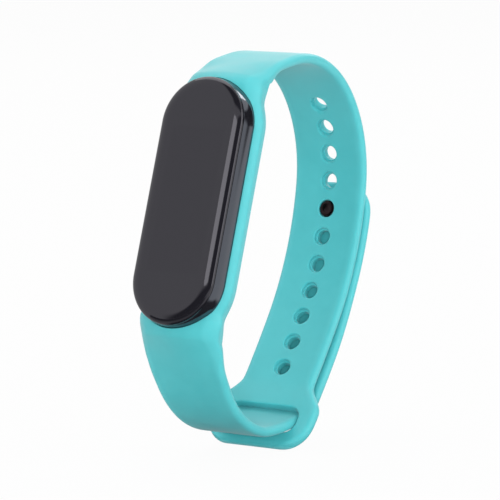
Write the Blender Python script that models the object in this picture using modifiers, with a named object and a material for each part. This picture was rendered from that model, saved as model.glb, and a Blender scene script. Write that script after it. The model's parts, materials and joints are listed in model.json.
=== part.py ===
"""Fitness tracker band: a soft one-piece wristband, the tracker capsule that
its pocket holds, and the strap's tail with the stud that fastens it.

Everything is laid out in the capsule's own frame: x runs across the wrist
strap, y runs from the screen back to the wrist and z along the capsule. The
origin of that frame is the middle of the pocket's end rims. An empty leans
the whole band back, with the centre of the wrist opening at the world origin.
"""
from math import cos, pi, radians, sin, sqrt

import bmesh
import bpy
from mathutils import Matrix, Vector

MM = 0.001

# Tracker capsule
CAPSULE_LENGTH = 46.8 * MM
CAPSULE_WIDTH = 18.0 * MM
CAPSULE_DEPTH = 12.45 * MM
SCREEN_PROUD = 1.85 * MM          # screen face in front of the pocket's end rims
GLASS_THICKNESS = 1.1 * MM
GLASS_EDGE = 1.6 * MM             # width of the glass's rounded edge
GLASS_DROP = 0.75                 # share of the thickness that is rounded off
LEDGE_DEPTH = 0.8 * MM            # how deep the glass's glue channel is
LEDGE_HEIGHT = 0.8 * MM           # thickness of the ledge under it
GLASS_INSET = 0.3 * MM            # glass edge inside the capsule's side
CASE_WALL = 1.0 * MM
CASE_SPLIT = 3.6 * MM             # depth of the joint between the two cases
SNAP_STEP = 0.45 * MM             # lower case narrower than upper case
BACK_FLAT = 5.0 * MM              # half width of the back's flat, around its end axis
SEAL_WIDTH = 0.4 * MM
SEAL_THICKNESS = 0.35 * MM
SEAT = 0.3 * MM                   # gap between pieces that touch
SOLDER_GAP = 0.2 * MM             # gap under chips, films and tapes

# Pocket of the wristband
POCKET_GAP = 0.25 * MM
POCKET_WALL = 1.15 * MM
POCKET_DEPTH = 7.0 * MM
POCKET_DRAFT = 0.3 * MM           # how much each side pulls in toward the back
POCKET_FRONT_ROUND = 1.6 * MM
POCKET_BACK_ROUND = 3.2 * MM
RIM_SAG = 2.65 * MM               # how far the pocket's sides fall behind its ends
LIP_DEPTH = 1.0 * MM              # rear lip that stops the capsule
LIP_REACH = 0.95 * MM             # how far the lip reaches in under the capsule

# Straps
STRAP_THICKNESS = 1.94 * MM
STRAP_WIDTH = 15.5 * MM
STRAP_ROUND = 0.9 * MM
UPPER_ROOT_FLARE = 1.0 * MM       # how much wider each strap is at the pocket
LOWER_ROOT_FLARE = 1.6 * MM
ROOT_OVERLAP = 3.6 * MM           # where a strap's root begins, before the capsule's end
ROOT_THINNING = 14.0 * MM         # past the capsule's end, where the root is strap-thick
ROOT_BLEND = 0.8 * MM             # softens the corner between pocket and strap
ROOT_BACK_ROUND = 1.0 * MM        # inner corners where a strap leaves the pocket
ROOT_TAPER = 22.6 * MM            # past the capsule's end, where the root is strap-wide
HOLE_COUNT = 11
HOLE_PITCH = 5.62 * MM            # along the strap's outer face
HOLE_DIAMETER = 2.7 * MM
HOLE_RECESS = 3.2 * MM            # each hole is wider on the wrist side
RECESS_DEPTH = 0.7 * MM
FIRST_HOLE = 41.0 * MM            # past the capsule's end
STUD_HOLE = 4                     # hole that the stud is in, counted from 0

# Keeper loop at the end of the upper strap
LOOP_SIDE = 3.05 * MM             # width of the bars beside the slot
LOOP_BAR = 3.1 * MM               # length of the bar past the slot
LOOP_THICKNESS = 2.2 * MM
LOOP_PASSAGE = 3.0 * MM           # slot length beyond twice the strap's thickness
LOOP_SIDE_GAP = 0.45 * MM         # between the slot's sides and the tail
LOOP_FLARE = 6.2 * MM             # length over which the strap widens to the loop
LOOP_FLARE_IN = 1.6 * MM          # part of it beside the slot
LOOP_CORNER = 5.5 * MM
SLOT_CORNER = 2.4 * MM

# Tail and stud
TAIL_GAP = 0.65 * MM              # between the two layers of strap
TAIL_RISE = 0.7 * MM              # more of it where the tail leaves the loop
TAIL_LEAD = 2.5 * MM              # slot's top to the point where the tail lies flat
TAIL_TIP = 5.3 * MM               # stud to the end of the tail
TAIL_CORNER = 5.5 * MM
TAIL_FLEX = 24.0 * MM             # stud to the line where the tail is bent away
TAIL_FLEX_OUT = 0.6 * MM          # that line, outside the tail's outer face
TURN_IN = 3.0 * MM                # how straight the strap goes into its turn
TURN_OUT = 4.5 * MM               # and out of it, through the loop
STUD_PLAY = 0.22 * MM             # between the stud's head and the hole
STUD_STEP = 0.3 * MM              # the stud's head stands this far beyond its neck
STUD_CAP = 6.4 * MM
STUD_CAP_HEIGHT = 1.2 * MM
STUD_CAP_FLOOR = 0.6 * MM         # steel left over the pin

# Inside the capsule
FILM = 0.15 * MM
TAPE = 0.2 * MM
DISPLAY_SIDE_GAP = 0.5 * MM       # display to the ledge that holds the glass
DISPLAY_THICKNESS = 1.0 * MM
DISPLAY_LENGTH = 27.5 * MM
BOARD_GAP = 1.0 * MM              # display to the main board
BOARD_THICKNESS = 0.8 * MM
FOLD_ROOM = 2.1 * MM              # case to the board's ends, where the flex folds
BATTERY_SIDE_GAP = 1.7 * MM
BATTERY_END_GAP = 4.75 * MM       # board's lower end to the battery
BATTERY_SWELL = 0.4 * MM          # room behind the battery
CHIP_ROOM = 2.95 * MM             # battery to the middle of the row of chips
MOTOR_ROOM = 5.1 * MM             # motor to the middle of the row of chips
MOTOR_RADIUS = 3.3 * MM
MOTOR_HEIGHT = 2.1 * MM
CHIPS = [                         # name, width, height, length, x, z from the row
    ("bluetooth_chip", 4.6 * MM, 0.7 * MM, 4.6 * MM, 0.0, 0.0),
    ("power_chip", 2.6 * MM, 0.6 * MM, 2.6 * MM, 4.6 * MM, -0.4 * MM),
    ("motion_chip", 2.0 * MM, 0.8 * MM, 2.0 * MM, -4.4 * MM, -0.4 * MM),
]
ANTENNA_SPREAD = 110              # degrees round the upper end
SENSOR_BOARD_DEPTH = 3.3 * MM     # middle of the sensor board in front of the back
SENSOR_BOARD_SIZE = (8.4 * MM, 0.5 * MM, 14.0 * MM)
LAMP_SIZE = (1.2 * MM, 0.5 * MM, 1.0 * MM)
LAMP_SPACING = 2.2 * MM
LAMP_Z = 1.7 * MM
DIODE_SIZE = (2.4 * MM, 0.5 * MM, 1.8 * MM)
WALL_SIZE = (5.4 * MM, 7.0 * MM)  # light baffle, across and along
WINDOW_RADIUS = 3.9 * MM
WINDOW_THICKNESS = 1.0 * MM
CONTACT_RADIUS = 1.1 * MM
CONTACT_SPACING = 5.2 * MM
CONTACT_Z = -11.0 * MM
MAGNET_RADIUS = 1.5 * MM
MAGNET_STEPS = (-4.2 * MM, 4.2 * MM)

LEAN = radians(18.8)              # the capsule leans back from upright

HALF_LENGTH = CAPSULE_LENGTH / 2
CAPSULE_RADIUS = CAPSULE_WIDTH / 2
END_Z = HALF_LENGTH - CAPSULE_RADIUS
SCREEN_Y = -SCREEN_PROUD
BACK_Y = CAPSULE_DEPTH - SCREEN_PROUD
GLASS_BACK = SCREEN_Y + GLASS_THICKNESS
POCKET_RADIUS = CAPSULE_RADIUS + POCKET_GAP
HOLDER_RADIUS = POCKET_RADIUS + POCKET_WALL
LOWER_RADIUS = CAPSULE_RADIUS - SNAP_STEP
LEDGE_RADIUS = CAPSULE_RADIUS - 2.0 * CASE_WALL
INNER_RADIUS = CAPSULE_RADIUS - 1.3 * CASE_WALL

# Side view of the outer face, as stretches of (length, bend in degrees) that
# start at the middle of the pocket and leave it upward or downward. The rear
# stretch runs parallel to the capsule and closes the band behind it.
REAR_LENGTH = CAPSULE_LENGTH - 19.8 * MM
UPPER_SIDE = [(HALF_LENGTH - 1.6 * MM, 0), (4.0 * MM, 60.6), (13.8 * MM, 3.1), (23.1 * MM, 60.4),
              (20.1 * MM, 46.2), (REAR_LENGTH, 26.4), (28.1 * MM, 7.8)]
LOWER_SIDE = [(HALF_LENGTH - 1.5 * MM, 0), (4.0 * MM, 53.6), (11.9 * MM, -5.1), (17.0 * MM, 46.4)]

PATH_STEP = 0.25 * MM
STATION = 2.6 * MM                # spacing of sections along a strap
CORNER_STEPS = 3
MIDDLE_SHARE = 0.55               # where a section's outer face has its extra points
CORNER_SHARE = 0.48               # most of a section's thickness that one corner takes
ROOT_START = HALF_LENGTH - ROOT_OVERLAP
ROOT_END = HALF_LENGTH + ROOT_THINNING
STUD_ROW = HALF_LENGTH + FIRST_HOLE + STUD_HOLE * HOLE_PITCH
FLEX_ROW = STUD_ROW + TAIL_FLEX
TIP_ROW = STUD_ROW - TAIL_TIP
LOOP_END = sum(length for length, bend in UPPER_SIDE)
LOOP_SLOT = 2 * STRAP_THICKNESS + LOOP_PASSAGE
SLOT_TOP = LOOP_END - LOOP_BAR - LOOP_SLOT
SLOT_WIDTH = STRAP_WIDTH + 2 * LOOP_SIDE_GAP
LOOP_WIDTH = SLOT_WIDTH + 2 * LOOP_SIDE
FLARE_START = SLOT_TOP + LOOP_FLARE_IN - LOOP_FLARE
STUD_HEAD = HOLE_DIAMETER - 2 * STUD_PLAY
STUD_NECK = STUD_HEAD - 2 * STUD_STEP

# The pieces inside, from the screen to the back and from end to end
DISPLAY_BACK = GLASS_BACK + 2 * SOLDER_GAP + FILM + DISPLAY_THICKNESS
BOARD_Y = DISPLAY_BACK + BOARD_GAP + SOLDER_GAP
BOARD_BACK = BOARD_Y + BOARD_THICKNESS
BOARD_HALF_LENGTH = END_Z + INNER_RADIUS - FOLD_ROOM
SENSOR_Y = BACK_Y - SENSOR_BOARD_DEPTH
SENSOR_LEAD_Y = SENSOR_Y - SENSOR_BOARD_SIZE[1] / 2 - SOLDER_GAP - FILM / 2
BATTERY_Y = BOARD_BACK + 2 * SOLDER_GAP + TAPE
BATTERY_BACK = SENSOR_LEAD_Y - FILM / 2 - BATTERY_SWELL
MOTOR_Z = BOARD_HALF_LENGTH - MOTOR_RADIUS - 0.1 * MM
CHIP_Z = MOTOR_Z - MOTOR_RADIUS - MOTOR_ROOM
BATTERY_TOP = CHIP_Z - CHIP_ROOM
BATTERY_FOOT = -BOARD_HALF_LENGTH + BATTERY_END_GAP


# ---------------------------------------------------------------- helpers

def clear_scene():
    for obj in list(bpy.data.objects):
        bpy.data.objects.remove(obj, do_unlink=True)


def make_collection(name):
    group = bpy.data.collections.new(name)
    bpy.context.scene.collection.children.link(group)
    return group


def material(name, colour, roughness, metallic=0.0):
    mat = bpy.data.materials.new(name)
    mat.use_nodes = True
    shader = mat.node_tree.nodes["Principled BSDF"]
    shader.inputs["Base Color"].default_value = (*colour, 1.0)
    shader.inputs["Roughness"].default_value = roughness
    shader.inputs["Metallic"].default_value = metallic
    return mat


def add_object(name, bm, mat, group, parent, smooth=True):
    """Turns a bmesh into an object of the band."""
    mesh = bpy.data.meshes.new(name)
    bm.to_mesh(mesh)
    bm.free()
    if smooth:
        mesh.shade_smooth()
        mesh.set_sharp_from_angle(angle=radians(35))
    if mat:
        mesh.materials.append(mat)
    obj = bpy.data.objects.new(name, mesh)
    group.objects.link(obj)
    obj.parent = parent
    return obj


def make_cutter(obj):
    obj.hide_render = True
    obj.display_type = 'WIRE'
    return obj


def cut(obj, cutter):
    mod = obj.modifiers.new("cut_" + cutter.name, 'BOOLEAN')
    mod.operation = 'DIFFERENCE'
    mod.solver = 'EXACT'
    mod.object = cutter


def smoothstep(value, start, end):
    t = min(max((value - start) / (end - start), 0.0), 1.0)
    return t * t * (3 - 2 * t)


def arc(centre, radii, start, end, steps):
    """Points of an ellipse arc in the (radius, depth) plane, angles in degrees."""
    turn = [radians(start + (end - start) * i / steps) for i in range(steps + 1)]
    return [(centre[0] + radii[0] * cos(a), centre[1] + radii[1] * sin(a)) for a in turn]


def stadium(name, profile, mat, group, parent, end_z=END_Z, closed=False, steps=9):
    """A long round solid: the (radius, depth) profile is turned a quarter of a
    turn about the end axis, drawn straight to the middle and mirrored twice."""
    bm = bmesh.new()
    verts = [bm.verts.new((0, y, end_z + r)) for r, y in profile]
    pairs = list(zip(verts, verts[1:]))
    if closed:
        pairs.append((verts[-1], verts[0]))
    edges = [bm.edges.new(pair) for pair in pairs]
    turned = bmesh.ops.spin(bm, geom=verts + edges, cent=(0, 0, end_z), axis=(0, 1, 0),
                            angle=pi / 2, steps=steps)
    last = [e for e in turned["geom_last"] if isinstance(e, bmesh.types.BMEdge)]
    drawn = bmesh.ops.extrude_edge_only(bm, edges=last)
    moved = [v for v in drawn["geom"] if isinstance(v, bmesh.types.BMVert)]
    bmesh.ops.translate(bm, verts=moved, vec=(0, 0, -end_z))
    bmesh.ops.remove_doubles(bm, verts=bm.verts, dist=1e-7)
    bmesh.ops.recalc_face_normals(bm, faces=bm.faces)
    if bm.calc_volume(signed=True) < 0:
        bmesh.ops.reverse_faces(bm, faces=bm.faces)
    obj = add_object(name, bm, mat, group, parent)
    mirror = obj.modifiers.new("other_quarters", 'MIRROR')
    mirror.use_axis = (True, False, True)
    mirror.merge_threshold = 1e-6
    return obj


def block(name, size, centre, mat, group, parent, radius=0.0, segments=2):
    """A box with its four edges along y rounded."""
    bm = bmesh.new()
    bmesh.ops.create_cube(bm, size=1.0)
    bmesh.ops.scale(bm, vec=size, verts=bm.verts)
    bmesh.ops.translate(bm, vec=centre, verts=bm.verts)
    if radius:
        upright = [e for e in bm.edges if abs((e.verts[0].co - e.verts[1].co).normalized().y) > 0.9]
        bmesh.ops.bevel(bm, geom=upright, offset=radius, segments=segments, profile=0.5,
                        affect='EDGES')
    return add_object(name, bm, mat, group, parent, smooth=bool(radius))


def turned(name, profile, mat, group, parent, place=Matrix(), segments=16):
    """A solid turned about its local z axis from a (radius, height) profile that
    runs from the axis at its top, down its outer side, to the axis at its base."""
    bm = bmesh.new()
    verts = [bm.verts.new((r, 0, h)) for r, h in profile]
    for pair in zip(verts, verts[1:]):
        bm.edges.new(pair)
    obj = add_object(name, bm, mat, group, parent)
    screw = obj.modifiers.new("turn", 'SCREW')
    screw.steps = segments
    screw.render_steps = segments
    screw.use_merge_vertices = True
    screw.merge_threshold = 1e-6
    screw.use_smooth_shade = True
    obj.matrix_local = place
    return obj


def loft(name, rings, mat, group, parent):
    """A closed skin through rings that all have the same number of points."""
    bm = bmesh.new()
    rows = [[bm.verts.new(point) for point in ring] for ring in rings]
    count = len(rows[0])
    for near, far in zip(rows, rows[1:]):
        for i in range(count):
            j = (i + 1) % count
            bm.faces.new((near[i], near[j], far[j], far[i]))
    bm.faces.new(rows[0])
    bm.faces.new(rows[-1])
    bmesh.ops.recalc_face_normals(bm, faces=bm.faces)
    return add_object(name, bm, mat, group, parent)


# ---------------------------------------------------------------- strap paths

def side_path(stretches, side):
    """Points (y, z), headings and distances along one side view. side is 1 for
    the upper strap and -1 for the lower one. Heading 0 leaves the pocket."""
    y, z, heading, travelled = 0.0, 0.0, 0.0, 0.0
    path = [(y, z, heading, travelled)]
    for length, bend in stretches:
        count = max(1, round(length / PATH_STEP))
        for _ in range(count):
            heading += radians(bend) / count / 2
            y += length / count * sin(heading)
            z += length / count * cos(heading)
            heading += radians(bend) / count / 2
            travelled += length / count
            path.append((y, z * side, heading, travelled))
    return path


def at(path, distance):
    """Point and heading at a distance along a path."""
    for before, after in zip(path, path[1:]):
        if after[3] >= distance - 1e-9:
            break
    t = (distance - before[3]) / (after[3] - before[3])
    return [a + (b - a) * t for a, b in zip(before, after)]


def inward(heading, side):
    """Direction from the outer face toward the wrist, as (y, z)."""
    return cos(heading), -sin(heading) * side


def section(outer, direction, half_width, thickness, sag=0.0, draft=0.0,
            rounds=(STRAP_ROUND, STRAP_ROUND)):
    """One closed ring of the band's skin. outer is the middle of the outer
    face; the sides of that face fall back by sag, the sides of the inner face
    are drawn in by draft, and rounds are the outer and inner corners' radii."""
    across = []
    for inner, (radius, start) in enumerate(zip(rounds, (-90, 0))):
        radius = min(radius, thickness * CORNER_SHARE)
        centre_x = half_width - radius - draft * inner
        centre_d = thickness - radius if inner else radius
        across += arc((centre_x, centre_d), (radius, radius), start, start + 90, CORNER_STEPS)
    right = [(across[0][0] * MIDDLE_SHARE, 0.0)] + across
    left = [(-x, d) for x, d in reversed(right)]
    outline = [(0.0, 0.0)] + right + [(0.0, thickness)] + left
    ring = []
    for x, depth in outline:
        fall = sag * (x / half_width) ** 2 * (1 - depth / thickness)
        depth += fall
        ring.append((x, outer[0] + direction[0] * depth, outer[1] + direction[1] * depth))
    return ring


def holder_width(distance):
    """Half width of the pocket's outer wall at a distance from its middle."""
    past = min(max(distance - END_Z, 0.0), HOLDER_RADIUS)
    return sqrt(HOLDER_RADIUS ** 2 - past ** 2)


def strap_width(distance, flare):
    """Half width of a strap, which is wider by flare at its root."""
    taper = smoothstep(distance, ROOT_START, HALF_LENGTH + ROOT_TAPER)
    return (STRAP_WIDTH + flare * (1 - taper)) / 2


def root_section(path, distance, side, flare):
    """Section of the pocket, of a strap's root or of the plain strap."""
    y, z, heading, _ = at(path, distance)
    change = smoothstep(distance, ROOT_START, ROOT_END)
    tilt = heading * change if distance < ROOT_END else heading
    thickness = POCKET_DEPTH + (STRAP_THICKNESS - POCKET_DEPTH) * change
    sag = RIM_SAG * (1 - smoothstep(distance, ROOT_START + 2.0 * MM, ROOT_END + MM))
    ending = smoothstep(distance, END_Z, HALF_LENGTH)
    pocket, strap = holder_width(distance), min(strap_width(distance, flare), HOLDER_RADIUS)
    width = (pocket + strap + sqrt((pocket - strap) ** 2 + (ending * ROOT_BLEND) ** 2)) / 2
    draft = POCKET_DRAFT * (1 + ending) * (1 - change)
    front = POCKET_FRONT_ROUND + (STRAP_ROUND - POCKET_FRONT_ROUND) * change
    back = POCKET_BACK_ROUND + (ROOT_BACK_ROUND - POCKET_BACK_ROUND) * ending
    back += (STRAP_ROUND - back) * change
    return section((y, z), inward(tilt, side), width, thickness, sag, draft, (front, back))


def rounded_end(outer, direction, half_width, thickness, left):
    """A strap section near a free edge, thinned so that the edge is round.
    left is the distance to the edge."""
    reach = thickness / 2
    full = sqrt(1 - (1 - min(left / reach, 1.0)) ** 2)
    thin = thickness * max(full, 0.25)
    shift = (thickness - thin) / 2
    moved = (outer[0] + direction[0] * shift, outer[1] + direction[1] * shift)
    return section(moved, direction, half_width, thin)


def corner_width(half_width, radius, left):
    """Half width near a free end whose two corners have the given radius."""
    if left >= radius:
        return half_width
    return half_width - radius + sqrt(radius ** 2 - (radius - left) ** 2)


def stations(start, end, spacing):
    count = max(1, round(abs(end - start) / spacing))
    return [start + (end - start) * i / count for i in range(count + 1)]


def curve_between(start, start_way, end, end_way, start_pull, end_pull, count):
    """Points and headings of a curve that leaves start and reaches end."""
    handles = [Vector(start), Vector(start) + Vector(start_way) * start_pull,
               Vector(end) - Vector(end_way) * end_pull, Vector(end)]
    points = []
    for i in range(count + 1):
        t = i / count
        weights = ((1 - t) ** 3, 3 * t * (1 - t) ** 2, 3 * t * t * (1 - t), t ** 3)
        slopes = (-3 * (1 - t) ** 2, 3 * (1 - t) ** 2 - 6 * t * (1 - t), 6 * t * (1 - t) - 3 * t * t,
                  3 * t * t)
        point = sum((w * h for w, h in zip(weights, handles)), Vector((0, 0)))
        way = sum((s * h for s, h in zip(slopes, handles)), Vector((0, 0))).normalized()
        points.append((point, way))
    return points


def mesh_with_modifiers(obj):
    """The mesh that an object's modifiers give; the object itself is removed."""
    shaped = obj.evaluated_get(bpy.context.evaluated_depsgraph_get())
    mesh = bpy.data.meshes.new_from_object(shaped)
    bpy.data.objects.remove(obj, do_unlink=True)
    return mesh


def facing(path, distance, side, depth=0.0):
    """Placement whose local z points out of a strap's face, depth below it."""
    y, z, heading, _ = at(path, distance)
    way = inward(heading, side)
    out = Vector((0, -way[0], -way[1]))
    across = Vector((1, 0, 0))
    place = Matrix((across, out.cross(across), out)).transposed().to_4x4()
    place.translation = Vector((0, y + way[0] * depth, z + way[1] * depth))
    return place


# ---------------------------------------------------------------- wristband

def pocket_stations(path_end):
    """Distances of the sections from the middle of the pocket to path_end,
    closest together where the capsule's end and the strap's first bend are."""
    rows = stations(0.0, END_Z, 7.0 * MM)
    rows += stations(END_Z, HALF_LENGTH - 0.8 * MM, 1.25 * MM)[1:]
    rows += stations(rows[-1], HALF_LENGTH + 2.0 * MM, 0.7 * MM)[1:]
    rows += stations(rows[-1], ROOT_END, 1.6 * MM)[1:]
    return rows + stations(ROOT_END, path_end, STATION)[1:]


def end_distances(radius):
    """Distances from a free edge that follow a round corner."""
    return [radius * (1 - cos(radians(15 * i))) for i in range(6, -1, -1)]


def loop_half_width(distance):
    flare = smoothstep(distance, FLARE_START, SLOT_TOP + LOOP_FLARE_IN)
    strap = strap_width(distance, UPPER_ROOT_FLARE)
    return strap + (LOOP_WIDTH / 2 - strap) * flare


def upper_strap(upper, group, cutters, frame):
    """Half of the pocket, the strap with its row of holes and the loop."""
    rings = [root_section(upper, s, 1, UPPER_ROOT_FLARE) for s in pocket_stations(FLARE_START)]
    loop_rows = stations(FLARE_START, LOOP_END - LOOP_CORNER, 1.1 * MM)[1:]
    loop_rows += [LOOP_END - left for left in end_distances(LOOP_CORNER)[1:]]
    for distance in loop_rows:
        y, z, heading, _ = at(upper, distance)
        left = LOOP_END - distance
        width = corner_width(loop_half_width(distance), LOOP_CORNER, left)
        grown = smoothstep(distance, FLARE_START, SLOT_TOP)
        thickness = STRAP_THICKNESS + (LOOP_THICKNESS - STRAP_THICKNESS) * grown
        rings.append(rounded_end((y, z), inward(heading, 1), width, thickness, left))
    obj = loft("upper_strap", rings, None, group, frame)

    reach = STRAP_THICKNESS + SEAT
    radius, recess = HOLE_DIAMETER / 2, HOLE_RECESS / 2
    step = RECESS_DEPTH - STRAP_THICKNESS
    profile = [(0, reach), (radius, reach), (radius, step), (recess, step), (recess, -reach), (0, -reach)]
    for index in range(HOLE_COUNT):
        row = HALF_LENGTH + FIRST_HOLE + index * HOLE_PITCH
        drill = turned(f"hole_{index + 1}", profile, None, cutters, frame, facing(upper, row, 1))
        cut(obj, make_cutter(drill))

    slot = block("loop_slot", (SLOT_WIDTH, 4 * LOOP_THICKNESS, LOOP_SLOT), (0, 0, 0), None, cutters,
                 frame, radius=SLOT_CORNER, segments=4)
    stand_up = Matrix.Rotation(pi / 2, 4, 'X')
    middle = SLOT_TOP + LOOP_SLOT / 2
    slot.matrix_local = facing(upper, middle, 1, LOOP_THICKNESS / 2) @ stand_up
    cut(obj, make_cutter(slot))
    bpy.context.view_layer.update()
    return mesh_with_modifiers(obj)


def tail_section(upper, distance):
    """Outer point and inward direction of the tail, which lies along the
    outside of the upper strap and stands off further near the loop."""
    y, z, heading, _ = at(upper, distance)
    way = inward(heading, 1)
    rise = TAIL_RISE * smoothstep(distance, FLEX_ROW - 10 * MM, FLEX_ROW + 5 * MM)
    stand = TAIL_GAP + rise + STRAP_THICKNESS
    return (y - way[0] * stand, z - way[1] * stand), way


def lower_strap(upper, lower, group, frame):
    """The other half of the pocket and the strap, which turns through the loop
    and lies along the upper strap as far as the line where the tail bends."""
    rings = [root_section(lower, s, -1, LOWER_ROOT_FLARE) for s in pocket_stations(lower[-1][3])]
    y, z, heading, _ = lower[-1]
    flat_row = SLOT_TOP - TAIL_LEAD
    joined, joined_way = tail_section(upper, flat_row)
    rise = (joined_way[1], -joined_way[0])
    turn = curve_between((y, z), (sin(heading), -cos(heading)), joined, rise, TURN_IN, TURN_OUT, 12)
    for point, way in turn[1:]:
        rings.append(section(point, (-way[1], way[0]), STRAP_WIDTH / 2, STRAP_THICKNESS))
    for distance in stations(flat_row, FLEX_ROW + SEAT / 2, STATION)[1:]:
        outer, way = tail_section(upper, distance)
        rings.append(section(outer, way, STRAP_WIDTH / 2, STRAP_THICKNESS))
    obj = loft("lower_strap", rings, None, group, frame)
    return mesh_with_modifiers(obj)


def wristband(upper, lower, group, cutters, frame):
    """The two halves welded at the middle of the pocket, which is then cut."""
    bm = bmesh.new()
    bm.from_mesh(upper_strap(upper, group, cutters, frame))
    bm.from_mesh(lower_strap(upper, lower, group, frame))
    middle = [f for f in bm.faces if all(abs(v.co.z) < 1e-7 for v in f.verts)]
    bmesh.ops.delete(bm, geom=middle, context='FACES_ONLY')
    seam = [v for v in bm.verts if abs(v.co.z) < 1e-7]
    bmesh.ops.remove_doubles(bm, verts=seam, dist=1e-6)
    bmesh.ops.recalc_face_normals(bm, faces=bm.faces)
    obj = add_object("wristband", bm, material("tpu", (0.05, 0.47, 0.50), 0.55), group, frame)

    ledge = LOWER_RADIUS + SEAT
    lip = ledge - LIP_REACH
    lip_y = POCKET_DEPTH - LIP_DEPTH
    over = 4.0 * MM
    profile = [(0, -over), (POCKET_RADIUS, -over), (POCKET_RADIUS, CASE_SPLIT),
               (ledge, CASE_SPLIT + POCKET_RADIUS - ledge), (ledge, lip_y - LIP_REACH + 0.15 * MM),
               (lip, lip_y), (lip, POCKET_DEPTH + over), (0, POCKET_DEPTH + over)]
    pocket = stadium("pocket", profile, None, cutters, frame, steps=12)
    cut(obj, make_cutter(pocket))
    return obj


def strap_tail(upper, group, cutters, hinge):
    """The loose end of the lower strap, from its bending line to its tip."""
    rows = stations(FLEX_ROW - SEAT / 2, TIP_ROW + TAIL_CORNER, STATION)
    rows += [TIP_ROW + left for left in end_distances(TAIL_CORNER)[1:]]
    rings = []
    for distance in rows:
        outer, way = tail_section(upper, distance)
        left = distance - TIP_ROW
        width = corner_width(STRAP_WIDTH / 2, TAIL_CORNER, left)
        rings.append(rounded_end(outer, way, width, STRAP_THICKNESS, left))
    obj = loft("strap_tail", rings, material("tpu_tail", (0.05, 0.47, 0.50), 0.55), group, hinge)
    bore = STUD_NECK / 2 + SEAT
    top = TAIL_GAP + 2 * STRAP_THICKNESS
    profile = [(0, top), (bore, top), (bore, TAIL_GAP / 2), (0, TAIL_GAP / 2)]
    drill = turned("stud_bore", profile, None, cutters, hinge, facing(upper, STUD_ROW, 1))
    cut(obj, make_cutter(drill))
    return obj


def stud(upper, group, hinge):
    """A steel pin through the tail and the upper strap, under a round cap."""
    place = facing(upper, STUD_ROW, 1, STRAP_THICKNESS)
    under = 2 * STRAP_THICKNESS + TAIL_GAP + SEAT
    top = under + STUD_CAP_HEIGHT
    pin_top = top - STUD_CAP_FLOOR - SEAT
    neck, head, cap = STUD_NECK / 2, STUD_HEAD / 2, STUD_CAP / 2
    steel = material("dark_steel", (0.04, 0.03, 0.035), 0.35, 1.0)
    pin = [(0, pin_top), (neck, pin_top), (neck, 0.90 * STRAP_THICKNESS),
           (head, 0.70 * STRAP_THICKNESS), (head, 0.28 * STRAP_THICKNESS),
           (0.75 * head, 0.08 * STRAP_THICKNESS), (0, 0.08 * STRAP_THICKNESS)]
    turned("stud_pin", pin, steel, group, hinge, place)
    bore = neck + SEAT
    cover = [(0, top), (0.72 * cap, top - 0.07 * STUD_CAP_HEIGHT), (0.93 * cap, top - 0.3 * STUD_CAP_HEIGHT),
             (cap, top - 0.62 * STUD_CAP_HEIGHT), (cap, under), (bore, under),
             (bore, top - STUD_CAP_FLOOR), (0, top - STUD_CAP_FLOOR)]
    turned("stud_cap", cover, steel, group, hinge, place, segments=24)


# ---------------------------------------------------------------- tracker

def cover_glass(group, parent):
    """Flat glass with a rounded edge."""
    edge = CAPSULE_RADIUS - GLASS_INSET
    drop = GLASS_DROP * GLASS_THICKNESS
    rim = arc((edge - GLASS_EDGE, SCREEN_Y + drop), (GLASS_EDGE, drop), -90, 0, 5)
    profile = [(0, SCREEN_Y)] + rim + [(edge, GLASS_BACK), (0, GLASS_BACK)]
    stadium("cover_glass", profile, material("glass", (0.05, 0.05, 0.055), 0.08), group, parent)


def upper_case(group, parent):
    """The glossy ring that carries the glass on a ledge and a glue channel."""
    top = GLASS_BACK + SEAT
    bottom = CASE_SPLIT - SEAT
    edge = CAPSULE_RADIUS - GLASS_INSET
    bulge = (bottom - top) * 0.36
    ledge_y = top + LEDGE_DEPTH
    channel = CAPSULE_RADIUS - 0.8 * CASE_WALL
    outside = [(edge, top), (edge + 0.73 * GLASS_INSET, top + 0.43 * bulge),
               (CAPSULE_RADIUS, top + bulge), (CAPSULE_RADIUS, bottom)]
    inside = [(INNER_RADIUS, bottom), (INNER_RADIUS, ledge_y + LEDGE_HEIGHT),
              (LEDGE_RADIUS, ledge_y + LEDGE_HEIGHT), (LEDGE_RADIUS, ledge_y), (channel, ledge_y),
              (channel, top)]
    stadium("upper_case", outside + inside, material("case", (0.09, 0.085, 0.10), 0.18), group,
            parent, closed=True)
    glue_out = channel - SOLDER_GAP
    glue_in = LEDGE_RADIUS + SOLDER_GAP
    glue = [(glue_in, top), (glue_out, top), (glue_out, ledge_y - SEAT), (glue_in, ledge_y - SEAT)]
    stadium("glass_adhesive", glue, material("adhesive", (0.02, 0.02, 0.02), 0.8), group, parent,
            closed=True)


def backward(x, z):
    """Placement whose local z axis runs toward the wrist, from the line (x, z)."""
    place = Matrix(((1, 0, 0), (0, 0, 1), (0, -1, 0))).to_4x4()
    place.translation = Vector((x, 0, z))
    return place


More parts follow.
